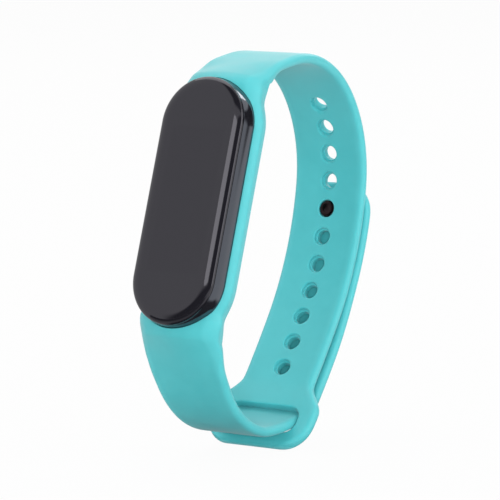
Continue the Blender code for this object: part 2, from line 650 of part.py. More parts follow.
def lower_case(group, cutters, parent):
    """The tub behind the pocket's ledge, with a domed back against the wrist."""
    foot = POCKET_DEPTH - LIP_DEPTH - LIP_REACH - 0.15 * MM
    neck = LOWER_RADIUS - LIP_REACH - SEAT - 0.05 * MM
    dome_y = POCKET_DEPTH + SEAT
    outside = [(LOWER_RADIUS, CASE_SPLIT), (LOWER_RADIUS, foot),
               (LOWER_RADIUS - 0.4 * LIP_REACH, foot + 0.5 * LIP_REACH), (neck, foot + LIP_REACH + 0.15 * MM)]
    outside += arc((BACK_FLAT, dome_y), (neck - BACK_FLAT - 0.15 * MM, BACK_Y - dome_y), 0, 90, 5)
    groove = LOWER_RADIUS - 1.15 * CASE_WALL
    tongue = groove + SEAL_WIDTH + 2 * SOLDER_GAP
    groove_y = CASE_SPLIT + SEAL_THICKNESS + 0.25 * MM
    floor_y = BACK_Y - CASE_WALL
    inside = [(0, floor_y)]
    inside += arc((BACK_FLAT - 0.6 * CASE_WALL, POCKET_DEPTH), (neck - BACK_FLAT - 0.4 * CASE_WALL,
                  floor_y - POCKET_DEPTH), 90, 0, 4)
    inside += [(groove, foot - 0.2 * MM), (groove, groove_y), (tongue, groove_y), (tongue, CASE_SPLIT)]
    profile = inside + outside + [(0, BACK_Y)]
    tub = stadium("lower_case", profile, material("tub", (0.03, 0.03, 0.033), 0.4), group, parent)
    openings = [("window_bore", WINDOW_RADIUS + SEAT, 0.0, 0.0)]
    openings += [(f"contact_bore_{i + 1}", CONTACT_RADIUS + SEAT, x, CONTACT_Z)
                 for i, x in enumerate((-CONTACT_SPACING / 2, CONTACT_SPACING / 2))]
    for name, radius, x, z in openings:
        profile = [(0, BACK_Y + MM), (radius, BACK_Y + MM), (radius, floor_y - 2 * MM),
                   (0, floor_y - 2 * MM)]
        drill = turned(name, profile, None, cutters, parent, backward(x, z), segments=20)
        cut(tub, make_cutter(drill))
    seal_in = groove + SOLDER_GAP
    seal = [(seal_in, CASE_SPLIT), (seal_in + SEAL_WIDTH, CASE_SPLIT),
            (seal_in + SEAL_WIDTH, CASE_SPLIT + SEAL_THICKNESS), (seal_in, CASE_SPLIT + SEAL_THICKNESS)]
    stadium("case_seal", seal, material("seal", (0.015, 0.015, 0.015), 0.7), group, parent,
            closed=True)


def screen_stack(group, parent):
    """Touch film, display and the flex that folds round the board's lower end."""
    film_y = GLASS_BACK + SOLDER_GAP
    radius = LEDGE_RADIUS - SEAT
    film = [(0, film_y), (radius, film_y), (radius, film_y + FILM), (0, film_y + FILM)]
    stadium("touch_film", film, material("film", (0.25, 0.24, 0.2), 0.3), group, parent)
    size = (2 * (LEDGE_RADIUS - DISPLAY_SIDE_GAP), DISPLAY_THICKNESS, DISPLAY_LENGTH)
    block("display_panel", size, (0, DISPLAY_BACK - DISPLAY_THICKNESS / 2, 0),
          material("display", (0.01, 0.01, 0.012), 0.2), group, parent, radius=1.5 * MM)
    start_y = DISPLAY_BACK + SOLDER_GAP
    far_y = BOARD_BACK + SEAT
    low_z = -BOARD_HALF_LENGTH - 0.8 * MM
    flex([(start_y, 1.8 * MM - DISPLAY_LENGTH / 2), (start_y, low_z), (far_y, low_z),
          (far_y, low_z + 3.4 * MM)], "display_flex", 5.0 * MM, group, parent)


def flex(route, name, width, group, parent, x=0.0):
    """A flat printed lead: a strip along (y, z) points with rounded bends."""
    bm = bmesh.new()
    rows = [[bm.verts.new((x + dx, y, z)) for dx in (-width / 2, width / 2)] for y, z in route]
    for near, far in zip(rows, rows[1:]):
        bm.faces.new((near[0], near[1], far[1], far[0]))
    folds = [e for e in bm.edges if len(e.link_faces) == 2]
    bmesh.ops.bevel(bm, geom=folds, offset=0.4 * MM, segments=3, profile=0.5, affect='EDGES')
    obj = add_object(name, bm, material(name, (0.45, 0.20, 0.04), 0.45), group, parent)
    solid = obj.modifiers.new("film", 'SOLIDIFY')
    solid.thickness = FILM
    solid.offset = 0.0
    return obj


def main_board(group, parent):
    """The circuit board with its chips on the wrist side, and the battery."""
    radius = INNER_RADIUS - SEAT
    green = material("solder_mask", (0.01, 0.09, 0.05), 0.45)
    outline = [(0, BOARD_Y), (radius, BOARD_Y), (radius, BOARD_BACK), (0, BOARD_BACK)]
    stadium("main_board", outline, green, group, parent, end_z=BOARD_HALF_LENGTH - radius)
    chip = material("chip", (0.02, 0.02, 0.022), 0.5)
    for name, width, height, length, x, z in CHIPS:
        middle = (x, BOARD_BACK + SOLDER_GAP + height / 2, CHIP_Z + z)
        block(name, (width, height, length), middle, chip, group, parent)
    width = 2 * (LOWER_RADIUS - 1.15 * CASE_WALL - BATTERY_SIDE_GAP)
    size = (width, BATTERY_BACK - BATTERY_Y, BATTERY_TOP - BATTERY_FOOT)
    middle_z = (BATTERY_TOP + BATTERY_FOOT) / 2
    block("battery_tape", (0.85 * size[0], TAPE, 0.85 * size[2]),
          (0, BATTERY_Y - SOLDER_GAP - TAPE / 2, middle_z),
          material("tape", (0.75, 0.74, 0.70), 0.7), group, parent)
    block("battery", size, (0, (BATTERY_Y + BATTERY_BACK) / 2, middle_z),
          material("foil", (0.55, 0.56, 0.58), 0.35, 1.0), group, parent, radius=0.9 * MM)
    motor_y = BOARD_BACK + SEAT
    motor = [(0, motor_y + MOTOR_HEIGHT), (MOTOR_RADIUS, motor_y + MOTOR_HEIGHT), (MOTOR_RADIUS, motor_y),
             (0, motor_y)]
    turned("vibration_motor", motor, material("motor", (0.6, 0.6, 0.6), 0.3, 1.0), group, parent,
           backward(0, MOTOR_Z), segments=20)
    antenna(group, parent)


def antenna(group, parent):
    """A thin strip round the inside of the upper end of the case."""
    radius = INNER_RADIUS - SOLDER_GAP
    bm = bmesh.new()
    low, high = BOARD_BACK + SOLDER_GAP, CASE_SPLIT - SEAT
    verts = [bm.verts.new((0, y, END_Z + radius)) for y in (low, high)]
    edge = bm.edges.new(verts)
    start = Matrix.Rotation(radians(-ANTENNA_SPREAD / 2), 3, 'Y')
    bmesh.ops.rotate(bm, verts=verts, cent=(0, 0, END_Z), matrix=start)
    bmesh.ops.spin(bm, geom=verts + [edge], cent=(0, 0, END_Z), axis=(0, 1, 0),
                   angle=radians(ANTENNA_SPREAD), steps=10)
    obj = add_object("antenna", bm, material("antenna", (0.70, 0.45, 0.15), 0.35, 1.0), group, parent)
    solid = obj.modifiers.new("film", 'SOLIDIFY')
    solid.thickness = FILM
    solid.offset = -1.0


def heart_sensor(group, cutters, parent):
    """Sensor board, lamps, light sensor, the wall between them and the window."""
    board = SENSOR_BOARD_SIZE
    block("sensor_board", board, (0, SENSOR_Y, 0), material("sensor_mask", (0.02, 0.03, 0.10), 0.45),
          group, parent, radius=1.2 * MM)
    top = SENSOR_Y + board[1] / 2 + SOLDER_GAP
    lamp_mat = material("lamp", (0.15, 0.75, 0.30), 0.25)
    for index, x in enumerate((-LAMP_SPACING / 2, LAMP_SPACING / 2)):
        block(f"sensor_led_{index + 1}", LAMP_SIZE, (x, top + LAMP_SIZE[1] / 2, LAMP_Z), lamp_mat,
              group, parent)
    block("photodiode", DIODE_SIZE, (0, top + DIODE_SIZE[1] / 2, -LAMP_Z),
          material("diode", (0.03, 0.03, 0.05), 0.15), group, parent)
    wall_height = BACK_Y - WINDOW_THICKNESS - SEAT - top
    baffle = block("light_baffle", (WALL_SIZE[0], wall_height, WALL_SIZE[1]),
                   (0, top + wall_height / 2, 0), material("foam", (0.012, 0.012, 0.012), 0.9), group,
                   parent, radius=1.0 * MM)
    cells = [("lamp_cell", LAMP_SPACING + LAMP_SIZE[0] + 2 * SEAT, LAMP_SIZE[2] + 2 * SEAT, LAMP_Z),
             ("diode_cell", DIODE_SIZE[0] + 2 * SEAT, DIODE_SIZE[2] + 2 * SEAT, -LAMP_Z)]
    for name, width, length, z in cells:
        cell = block(name, (width, 3 * wall_height, length), (0, top, z), None, cutters, parent)
        cut(baffle, make_cutter(cell))
    low = BACK_Y - WINDOW_THICKNESS
    lens = [(0, BACK_Y + 0.1 * MM), (0.6 * WINDOW_RADIUS, BACK_Y + 0.07 * MM), (WINDOW_RADIUS, BACK_Y),
            (WINDOW_RADIUS, low), (0, low)]
    turned("sensor_window", lens, material("lens", (0.05, 0.05, 0.06), 0.05), group, parent,
           backward(0, 0), segments=24)
    chip_y = BOARD_BACK + SOLDER_GAP + FILM / 2
    drop_z = MOTOR_Z - MOTOR_RADIUS - 2.5 * MM
    flex([(SENSOR_LEAD_Y, board[2] / 2 - 1.5 * MM), (SENSOR_LEAD_Y, drop_z), (chip_y, drop_z),
          (chip_y, drop_z + 1.6 * MM)], "sensor_flex", 2.6 * MM, group, parent)


def charging_parts(group, parent):
    """Two gold contacts in the back and the magnets that hold the charger."""
    gold = material("gold", (0.85, 0.62, 0.28), 0.25, 1.0)
    iron = material("magnet", (0.5, 0.5, 0.52), 0.3, 1.0)
    head, shank = CONTACT_RADIUS, 0.55 * CONTACT_RADIUS
    pin = [(0, BACK_Y), (head, BACK_Y), (head, BACK_Y - 0.6 * MM), (shank, BACK_Y - 0.6 * MM),
           (shank, BACK_Y - 2.2 * MM), (0, BACK_Y - 2.2 * MM)]
    inner = BACK_Y - CASE_WALL - SEAT
    magnet = [(0, inner), (MAGNET_RADIUS, inner), (MAGNET_RADIUS, inner - 1.4 * MM),
              (0, inner - 1.4 * MM)]
    for index, x in enumerate((-CONTACT_SPACING / 2, CONTACT_SPACING / 2)):
        turned(f"charge_contact_{index + 1}", pin, gold, group, parent, backward(x, CONTACT_Z))
        turned(f"dock_magnet_{index + 1}", magnet, iron, group, parent,
               backward(0, CONTACT_Z + MAGNET_STEPS[index]))


# ---------------------------------------------------------------- assembly

def empty(name, location, parent, group):
    obj = bpy.data.objects.new(name, None)
    obj.empty_display_size = 5 * MM
    obj.location = location
    obj.parent = parent
    group.objects.link(obj)
    return obj


def build():
    clear_scene()
    band = make_collection("fitness_tracker_band")
    cutters = make_collection("cutters")
    upper = side_path(UPPER_SIDE, 1)
    lower = side_path(LOWER_SIDE, -1)
    frame = empty("band_frame", (0, 0, 0), None, band)
    frame.rotation_euler = (-LEAN, 0, 0)
    wrist_y = (BACK_Y + max(p[0] for p in upper) - STRAP_THICKNESS) / 2
    wrist_z = (max(p[1] for p in upper) + min(p[1] for p in lower)) / 2
    lean = Matrix.Rotation(-LEAN, 3, 'X')
    frame.location = -(lean @ Vector((0, wrist_y, wrist_z)))

    outer, way = tail_section(upper, FLEX_ROW)
    line = (0, outer[0] - way[0] * TAIL_FLEX_OUT, outer[1] - way[1] * TAIL_FLEX_OUT)
    hinge_line = empty("tail_bend_line", line, frame, band)
    hinge = empty("tail_frame", [-c for c in line], hinge_line, band)
    slide = empty("tracker_slide", (0, 0, 0), frame, band)

    wristband(upper, lower, band, cutters, frame)
    strap_tail(upper, band, cutters, hinge)
    stud(upper, band, hinge)
    cover_glass(band, slide)
    upper_case(band, slide)
    lower_case(band, cutters, slide)
    screen_stack(band, slide)
    main_board(band, slide)
    heart_sensor(band, cutters, slide)
    charging_parts(band, slide)


build()
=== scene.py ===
"""Fitness tracker band: a turquoise one-piece strap with its tracker capsule."""
import json
from math import cos, pi, radians, sin, sqrt, tan

import bmesh
import bpy
from mathutils import Matrix, Vector
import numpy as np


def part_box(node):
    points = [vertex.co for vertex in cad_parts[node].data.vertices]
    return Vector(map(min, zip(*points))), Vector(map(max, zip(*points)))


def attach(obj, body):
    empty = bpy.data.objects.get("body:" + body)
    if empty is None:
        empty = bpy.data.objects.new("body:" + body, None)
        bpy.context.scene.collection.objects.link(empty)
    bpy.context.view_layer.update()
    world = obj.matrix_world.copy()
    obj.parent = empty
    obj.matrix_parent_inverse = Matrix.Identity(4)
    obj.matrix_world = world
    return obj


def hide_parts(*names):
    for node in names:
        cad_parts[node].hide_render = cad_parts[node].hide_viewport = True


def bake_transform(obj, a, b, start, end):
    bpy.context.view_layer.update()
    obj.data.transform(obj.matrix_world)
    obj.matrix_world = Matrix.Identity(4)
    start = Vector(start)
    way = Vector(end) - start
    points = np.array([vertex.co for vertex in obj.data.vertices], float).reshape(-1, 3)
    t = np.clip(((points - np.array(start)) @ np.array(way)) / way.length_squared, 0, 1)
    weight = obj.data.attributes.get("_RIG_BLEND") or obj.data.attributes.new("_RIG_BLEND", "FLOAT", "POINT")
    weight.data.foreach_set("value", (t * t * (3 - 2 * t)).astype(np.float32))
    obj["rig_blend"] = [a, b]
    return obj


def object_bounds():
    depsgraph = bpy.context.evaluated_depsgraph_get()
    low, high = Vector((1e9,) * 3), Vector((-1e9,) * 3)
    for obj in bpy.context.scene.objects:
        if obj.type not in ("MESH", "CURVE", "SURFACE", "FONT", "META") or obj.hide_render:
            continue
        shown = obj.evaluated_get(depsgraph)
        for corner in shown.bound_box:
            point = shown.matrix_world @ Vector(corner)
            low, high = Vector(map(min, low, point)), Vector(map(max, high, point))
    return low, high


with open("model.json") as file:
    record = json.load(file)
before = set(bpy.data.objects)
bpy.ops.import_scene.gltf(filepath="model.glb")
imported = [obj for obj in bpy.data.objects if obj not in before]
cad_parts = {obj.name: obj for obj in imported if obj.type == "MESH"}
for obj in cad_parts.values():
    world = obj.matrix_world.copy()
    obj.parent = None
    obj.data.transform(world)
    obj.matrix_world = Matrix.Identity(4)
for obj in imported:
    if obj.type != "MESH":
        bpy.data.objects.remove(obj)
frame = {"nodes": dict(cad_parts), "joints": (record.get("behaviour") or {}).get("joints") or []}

cad_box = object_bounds()

# ---------------------------------------------------------------- studio
# A product set: a white table, soft lights above, beside and behind the band and
# over the lens, and black boards round the lens that only polished surfaces mirror.

FLOOR_Z = cad_box[0][2]           # metres, as all sizes of the set
WORLD_LIGHT = 0.56                # the white air, as it lights the band
TABLE_TONE = 0.66
TABLE_GLOW = 0.96                 # share of plain white in what the lens sees of it
BOARD_EDGE = 0.16                 # share of a board's side over which it thins out


def add_node(tree, kind, at_inputs=None, **settings):
    """A shader node with its settings and its input values or links."""
    node = tree.nodes.new(kind)
    for name, value in settings.items():
        setattr(node, name, value)
    for name, value in (at_inputs or {}).items():
        if isinstance(value, bpy.types.NodeSocket):
            tree.links.new(value, node.inputs[name])
        else:
            node.inputs[name].default_value = value
    return node


def calculate(tree, operation, first, second=0.0):
    return add_node(tree, "ShaderNodeMath", {0: first, 1: second}, operation=operation).outputs[0]


def spread_value(tree, value, low=0.0, high=1.0, start=0.0, end=1.0, ease='LINEAR'):
    """A value that goes from start to end, spread from low to high."""
    return add_node(tree, "ShaderNodeMapRange", {"Value": value, "To Min": low, "To Max": high,
                                                 "From Min": start, "From Max": end},
                    interpolation_type=ease).outputs["Result"]


def bare_tree(owner):
    owner.use_nodes = True
    owner.node_tree.nodes.clear()
    return owner.node_tree


def seen_white(tree):
    """1 where the lens looks, straight on, in a mirror or through glass, 0 elsewhere."""
    rays = add_node(tree, "ShaderNodeLightPath").outputs
    mirrored = calculate(tree, 'MAXIMUM', rays["Is Camera Ray"], rays["Is Glossy Ray"])
    return calculate(tree, 'MAXIMUM', mirrored, rays["Is Transmission Ray"])


def pick(*pieces):
    """Selects these pieces only, and makes the first one active."""
    bpy.ops.object.select_all(action='DESELECT')
    for piece in pieces:
        piece.select_set(True)
    bpy.context.view_layer.objects.active = pieces[0]


def open_piece(piece, mode):
    """Opens a piece for modelling, with nothing selected, and gives its mesh."""
    pick(piece)
    bpy.ops.object.mode_set(mode='EDIT')
    bpy.ops.mesh.select_mode(type=mode)
    bpy.ops.mesh.select_all(action='DESELECT')
    return bmesh.from_edit_mesh(piece.data)


scene = bpy.context.scene
scene.view_settings.view_transform = 'Standard'
camera = bpy.data.objects.new("camera", bpy.data.cameras.new("camera"))
scene.collection.objects.link(camera)
camera.location = (0.36642, -0.56294, 0.08575)
camera.rotation_euler = (1.4430, 0.0003, 0.5823)
camera.data.lens = 260.28
camera.data.sensor_width = 36.0
camera.data.clip_start = 0.01
camera.data.clip_end = 100.0
scene.camera = camera

world = bpy.data.worlds.new("studio")
scene.world = world
air = bare_tree(world)
strength = spread_value(air, seen_white(air), WORLD_LIGHT, 1.0)
glow = add_node(air, "ShaderNodeBackground", {"Color": (1.0, 1.0, 1.0, 1.0), "Strength": strength})
add_node(air, "ShaderNodeOutputWorld", {"Surface": glow.outputs[0]})


def toward(azimuth, elevation, away):
    """A place seen from the band: azimuth from the front to its right, in degrees."""
    a, e = radians(azimuth), radians(elevation)
    return Vector((sin(a) * cos(e), -cos(a) * cos(e), sin(e))) * away


def softbox(name, azimuth, elevation, away, size, power):
    """An oval lamp that faces the band; its power in watts."""
    lamp = bpy.data.lights.new(name, 'AREA')
    lamp.shape = 'ELLIPSE'
    lamp.size, lamp.size_y = size
    lamp.energy = power
    obj = bpy.data.objects.new(name, lamp)
    scene.collection.objects.link(obj)
    obj.location = toward(azimuth, elevation, away)
    obj.rotation_euler = (-obj.location).to_track_quat('-Z', 'Y').to_euler()
    return obj


def laid_flag(name, width, length, x, y, height):
    """A black board that only mirrors see, laid flat at a height over the table."""
    bpy.ops.object.select_all(action='DESELECT')
    bpy.ops.mesh.primitive_grid_add(x_subdivisions=2, y_subdivisions=2, size=1.0)
    board = bpy.context.object
    board.name = name
    board.scale = (width, length, 1)
    board.location = (x, y, FLOOR_Z + height)
    board.visible_camera = board.visible_diffuse = board.visible_shadow = False
    board.visible_transmission = False
    board.data.materials.append(black_board)
    return board


def flag(name, azimuth, elevation, width, height, away=1.3):
    """The same board, standing and facing the band; its width and height in degrees."""
    board = laid_flag(name, *(2 * away * tan(radians(side / 2)) for side in (width, height)), 0, 0, 0)
    board.location = toward(azimuth, elevation, away)
    board.rotation_euler = (-board.location).to_track_quat('Z', 'Y').to_euler()


# black velvet that thins out toward the board's edges
black_board = bpy.data.materials.new("black_board")
cloth = bare_tree(black_board)
weave = add_node(cloth, "ShaderNodeTexCoord")
edges = add_node(cloth, "ShaderNodeSeparateXYZ", {"Vector": weave.outputs["UV"]})
inside = []
for axis in ("X", "Y"):
    near = calculate(cloth, 'PINGPONG', edges.outputs[axis], 0.5)
    inside.append(spread_value(cloth, near, end=BOARD_EDGE, ease='SMOOTHSTEP'))
dense = calculate(cloth, 'MULTIPLY', *inside)
velvet = add_node(cloth, "ShaderNodeBsdfDiffuse", {"Color": (0.003, 0.003, 0.003, 1.0)})
open_air = add_node(cloth, "ShaderNodeBsdfTransparent")
thinned = add_node(cloth, "ShaderNodeMixShader", {0: dense, 1: open_air.outputs[0], 2: velvet.outputs[0]})
add_node(cloth, "ShaderNodeOutputMaterial", {"Surface": thinned.outputs[0]})

# where each stands round the band, in degrees, and how far away
softbox("top_softbox", -107, 67, 0.87, (0.8, 0.8), 2.7)
softbox("side_softbox", 88, 21, 0.95, (0.9, 0.8), 3.2)
softbox("fill_softbox", 33, 7, 1.8, (0.9, 0.3), 17.0).visible_glossy = False
softbox("rear_softbox", 204, 24, 1.1, (0.9, 0.30), 0.8)
softbox("rim_softbox", 176, 32, 1.1, (0.42, 0.26), 1.2)
softbox("lens_strip", -11, 28, 1.3, (0.60, 0.25), 0.95)
flag("front_flag", -3, 6, 66, 38)
flag("upper_flag", 20, 62, 62, 38)
flag("side_flag", 35, 22, 60, 40)
flag("rear_flag", 150, 11, 50, 28)
laid_flag("under_flag", 0.075, 0.095, 0.016, -0.03, 0.0008)
# the one that lies before the band narrows toward it
floor_flag = laid_flag("floor_flag", 1.15, 1.1, 0.03, -0.55, 0.001)
corners = open_piece(floor_flag, 'VERT')
for vert in corners.verts:
    vert.select = vert.co.y > 0.4
corners.select_flush(True)
bpy.ops.transform.resize(value=(0.055, 1, 1), center_override=floor_flag.location)
bpy.ops.object.mode_set(mode='OBJECT')

bpy.ops.object.select_all(action='DESELECT')
bpy.ops.mesh.primitive_grid_add(x_subdivisions=8, y_subdivisions=8, size=24.0,
                                location=(0, 0, FLOOR_Z - 0.0001))
table = bpy.context.object
table.name = "table"
paper = bpy.data.materials.new("white_table")
tree = bare_tree(paper)
sheet = add_node(tree, "ShaderNodeBsdfDiffuse", {"Color": (TABLE_TONE, TABLE_TONE, TABLE_TONE, 1.0)})
lit = add_node(tree, "ShaderNodeEmission", {"Color": (1.0, 1.0, 1.0, 1.0), "Strength": 1.0})
share = calculate(tree, 'MULTIPLY', seen_white(tree), TABLE_GLOW)
both = add_node(tree, "ShaderNodeMixShader", {0: share, 1: sheet.outputs[0], 2: lit.outputs[0]})
add_node(tree, "ShaderNodeOutputMaterial", {"Surface": both.outputs[0]})
table.data.materials.append(paper)

# ---------------------------------------------------------------- wristband
# Soft thermoplastic polyurethane, moulded in one piece: the pocket that grips
# the capsule, the strap with its holes and loop, and the plain strap opposite.

MM = 0.001                        # in metres
LEAN = radians(18.8)              # the capsule leans back from upright
CAPSULE_WIDTH = 18.0              # this and all sizes below in millimetres
HALF_LENGTH = 23.4                # of the capsule
END_Z = HALF_LENGTH - CAPSULE_WIDTH / 2
POCKET_RADIUS = CAPSULE_WIDTH / 2 + 0.02
HOLDER_RADIUS = CAPSULE_WIDTH / 2 + 1.09
POCKET_DEPTH = 7.0
RIM_SAG = 2.75                    # how far the pocket's sides fall behind its ends
RIM_ROUND = 0.08
SNAP_STEP = 0.45                  # the capsule's tub is narrower than its ring
LEDGE_RADIUS = CAPSULE_WIDTH / 2 - SNAP_STEP + 0.3
LIP_RADIUS = LEDGE_RADIUS - 0.95  # the rear lip that stops the capsule
STRAP_THICKNESS = 1.94
STRAP_WIDTH = 15.5
STRAP_ROUND = 0.9
FACE_SHARES = (0.33, 0.66, 0.9)   # of half a face, where its rows have points
ROOT_START = HALF_LENGTH - 2.6    # rows are counted along the strap from the
ROOT_END = HALF_LENGTH + 11.6     # middle of the pocket
SAG_START = HALF_LENGTH - 0.3
SAG_END = HALF_LENGTH + 11.8
ROOT_FLARE = 1.4                  # both straps are wider by this at the pocket
ROOT_BLEND = 0.6                  # softens the corner between pocket and strap
UPPER_TAPER = HALF_LENGTH + 13.9
LOWER_TAPER = HALF_LENGTH + 24.2
FRONT_ROUND = (1.6, 2.1)          # of the pocket, along its sides and at its ends
BACK_ROUND = (3.2, 1.0)
SIDE_DRAFT = (0.3, 0.86)          # how much each side pulls in toward the back
# where the roots' sides stand out: how far, then past the capsule's end the rows
# where that starts, is full, wanes and is gone
LOWER_SWELLS = [(0.57, -3.4, -2.5, -2.4, 1.0), (0.3, 1.2, 4.6, 6.2, 10.0)]
UPPER_SWELLS = [(-0.5, -1.6, 0.4, 1.4, 4.6)]
LESS_DRAFT = [(0.3, -2.6, -0.6, 0.6, 3.0)]
HOLE_RADIUS = 1.35
HOLE_RECESS = 1.7                 # each hole is wider on the wrist side
RECESS_DEPTH = 0.7
HOLE_ROUND = 0.18
FIRST_HOLE = 41.0                 # past the capsule's end
HOLE_PITCH = 5.62
HOLE_ROWS = [HALF_LENGTH + FIRST_HOLE + HOLE_PITCH * index for index in range(11)]
STUD_ROW = HOLE_ROWS[4]
LOOP_THICKNESS = 2.2
LOOP_CORNER = 5.5
LOOP_BAR = 3.1                    # past the slot
LOOP_SIDE = 3.25                  # beside the slot
LOOP_SLOT = 2 * STRAP_THICKNESS + 1.8
SLOT_WIDTH = STRAP_WIDTH + 2 * 0.25
SLOT_CORNER = 2.4
SLOT_ROUND = 0.3
LOOP_WIDTH = SLOT_WIDTH + 2 * LOOP_SIDE
# side view of the outer face: (length, bend in degrees) from the pocket's middle
UPPER_SIDE = [(HALF_LENGTH - 1.6, 0), (4.0, 60.6), (13.8, 3.1), (23.1, 60.4), (20.1, 46.2),
              (2 * HALF_LENGTH - 19.8, 26.4), (28.1, 7.8)]
LOWER_SIDE = [(HALF_LENGTH - 1.5, 0), (4.0, 53.6), (11.9, -5.1), (17.0, 46.4)]
PATH_STEP = 0.25
LOOP_END = sum(length for length, bend in UPPER_SIDE)
SLOT_TOP = LOOP_END - LOOP_BAR - LOOP_SLOT
FLARE_END = LOOP_END - 8.4        # the strap is as wide as the loop here
FLARE_START = FLARE_END - 6.2
FLAT_ROW = FLARE_END - 4.1        # where the tail lies flat on the strap
TAIL_GAP = 0.65                   # between the two layers of strap
TAIL_RISE = 0.7                   # more of it where the tail leaves the loop
TAIL_CORNER = 5.5
TURN_IN = 3.0                     # how straight the strap goes into its turn
TURN_OUT = 4.5                    # and out of it, through the loop
TURN_STEPS = 16
FLEX_ROW = STUD_ROW + 24.0        # the middle of where the tail bends when opened
TIP_ROW = STUD_ROW - 5.3
SEAL_Y = 3.6                      # the case seal's front, behind the pocket's outer face
SEAL_THICKNESS = 0.35

seal_low, seal_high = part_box("case_seal")
lean_back = Matrix.Rotation(-LEAN, 4, 'X')
seal_middle = lean_back @ Vector((0, SEAL_Y + SEAL_THICKNESS / 2, 0)) * MM
band_place = (Matrix.Translation((seal_low + seal_high) / 2 - seal_middle) @ lean_back
              @ Matrix.Scale(MM, 4))


def start_ring(name, points):
    """A new piece, opened for modelling, that is one closed row of points."""
    bpy.ops.object.select_all(action='DESELECT')
    bpy.ops.mesh.primitive_circle_add(vertices=len(points), fill_type='NOTHING')
    piece = bpy.context.object
    piece.name = piece.data.name = name
    order = piece.data.attributes.new("order", 'INT', 'POINT')
    for index, (vert, point) in enumerate(zip(piece.data.vertices, points)):
        vert.co = point
        order.data[index].value = index
    bpy.ops.object.mode_set(mode='EDIT')
    bpy.ops.mesh.select_all(action='SELECT')
    return piece


def next_ring(piece, points):
    """Draws the open row out to its next place."""
    bpy.ops.mesh.extrude_region_move()
    skin = bmesh.from_edit_mesh(piece.data)
    order = skin.verts.layers.int["order"]
    for vert in skin.verts:
        if vert.select:
            vert.co = points[vert[order]]


def close_piece(piece, welded=False):
    """Caps the two open rows, or welds them, turns the skin outward, ends editing."""
    if welded:
        bpy.ops.mesh.select_all(action='SELECT')
        bpy.ops.mesh.remove_doubles(threshold=0.0005)
    else:
        skin = bmesh.from_edit_mesh(piece.data)
        skin.verts.index_update()
        count = len([v for v in skin.verts if v.select])
        bpy.ops.mesh.edge_face_add()
        bpy.ops.mesh.select_all(action='DESELECT')
        skin = bmesh.from_edit_mesh(piece.data)
        skin.verts.ensure_lookup_table()
        for vert in skin.verts[:count]:
            vert.select = True
        skin.select_flush(True)
        bpy.ops.mesh.edge_face_add()
    bpy.ops.mesh.select_all(action='SELECT')
    bpy.ops.mesh.normals_make_consistent(inside=False)
    bpy.ops.object.mode_set(mode='OBJECT')
    return piece


def draw_piece(name, rows, welded=False):
    """A closed piece drawn through rows of points."""
    piece = start_ring(name, rows[0])
    for points in rows[1:]:
        next_ring(piece, points)
    return close_piece(piece, welded=welded)


def apply_modifier(piece, kind, **settings):
    bpy.context.view_layer.objects.active = piece
    modifier = piece.modifiers.new(kind.lower(), kind)
    for name, value in settings.items():
        setattr(modifier, name, value)
    bpy.ops.object.modifier_apply(modifier=modifier.name)


def cut_away(piece, cutter):
    """Cuts the cutter's space out of a piece and removes the cutter."""
    apply_modifier(piece, 'BOOLEAN', operation='DIFFERENCE', solver='EXACT', object=cutter)
    bpy.data.objects.remove(cutter, do_unlink=True)


def set_in_place(piece, angle=35, place=band_place):
    """Puts a finished piece in the leaning band and smooths it up to an angle."""
    piece.data.transform(place)
    piece.data.update()
    pick(piece)
    bpy.ops.object.shade_smooth_by_angle(angle=radians(angle))


def smoothstep(value, start, end):
    t = min(max((value - start) / (end - start), 0.0), 1.0)
    return t * t * (3 - 2 * t)


def between(pair, share):
    return pair[0] + (pair[1] - pair[0]) * share


def arc(centre, radii, start, end, steps):
    """Points of an ellipse arc, angles in degrees."""
    turn = [radians(start + (end - start) * i / steps) for i in range(steps + 1)]
    return [(centre[0] + radii[0] * cos(a), centre[1] + radii[1] * sin(a)) for a in turn]


def side_path(stretches, side):
    """Points (y, z), headings and distances along the side view, upward or downward."""
    y, z, heading, travelled = 0.0, 0.0, 0.0, 0.0
    path = [(y, z, heading, travelled)]
    for length, bend in stretches:
        count = round(length / PATH_STEP)
        for _ in range(count):
            heading += radians(bend) / count / 2
            y += length / count * sin(heading)
            z += length / count * cos(heading)
            heading += radians(bend) / count / 2
            travelled += length / count
            path.append((y, z * side, heading, travelled))
    return path


def at(path, distance):
    """Point, heading and distance of a path, between its two nearest points."""
    for before, after in zip(path, path[1:]):
        if after[3] >= distance - 1e-6:
            break
    t = (distance - before[3]) / (after[3] - before[3])
    return [a + (b - a) * t for a, b in zip(before, after)]


def inward(heading, side):
    """Direction (y, z) from the strap's outer face to the wrist."""
    return cos(heading), -sin(heading) * side


def section(outer, direction, half_width, thickness, sag=0.0, draft=0.0,
            rounds=(STRAP_ROUND, STRAP_ROUND)):
    """One row of the band's skin, across the strap and back again."""
    across = []
    for inner, (radius, start) in enumerate(zip(rounds, (-90, 0))):
        radius = min(radius, thickness * 0.48)
        centre_x = half_width - radius - draft * inner
        centre_d = thickness - radius if inner else radius
        across += arc((centre_x, centre_d), (radius, radius), start, start + 90, 3)
    front = [(across[0][0] * share, 0.0) for share in FACE_SHARES]
    back = [(across[-1][0] * share, thickness) for share in reversed(FACE_SHARES)]
    right = front + across + back
    left = [(-x, d) for x, d in reversed(right)]
    row = []
    for x, depth in [(0.0, 0.0)] + right + [(0.0, thickness)] + left:
        depth += sag * (x / half_width) ** 2 * (1 - depth / thickness)
        row.append(Vector((x, outer[0] + direction[0] * depth, outer[1] + direction[1] * depth)))
    return row


def strap_width(distance, taper):
    return (STRAP_WIDTH + ROOT_FLARE * (1 - smoothstep(distance, ROOT_START, taper))) / 2


def swelling(distance, swells):
    """How far a root's side stands out at a row."""
    past = distance - HALF_LENGTH
    return sum(size * (smoothstep(past, start, full) - smoothstep(past, waning, gone))
               for size, start, full, waning, gone in swells)


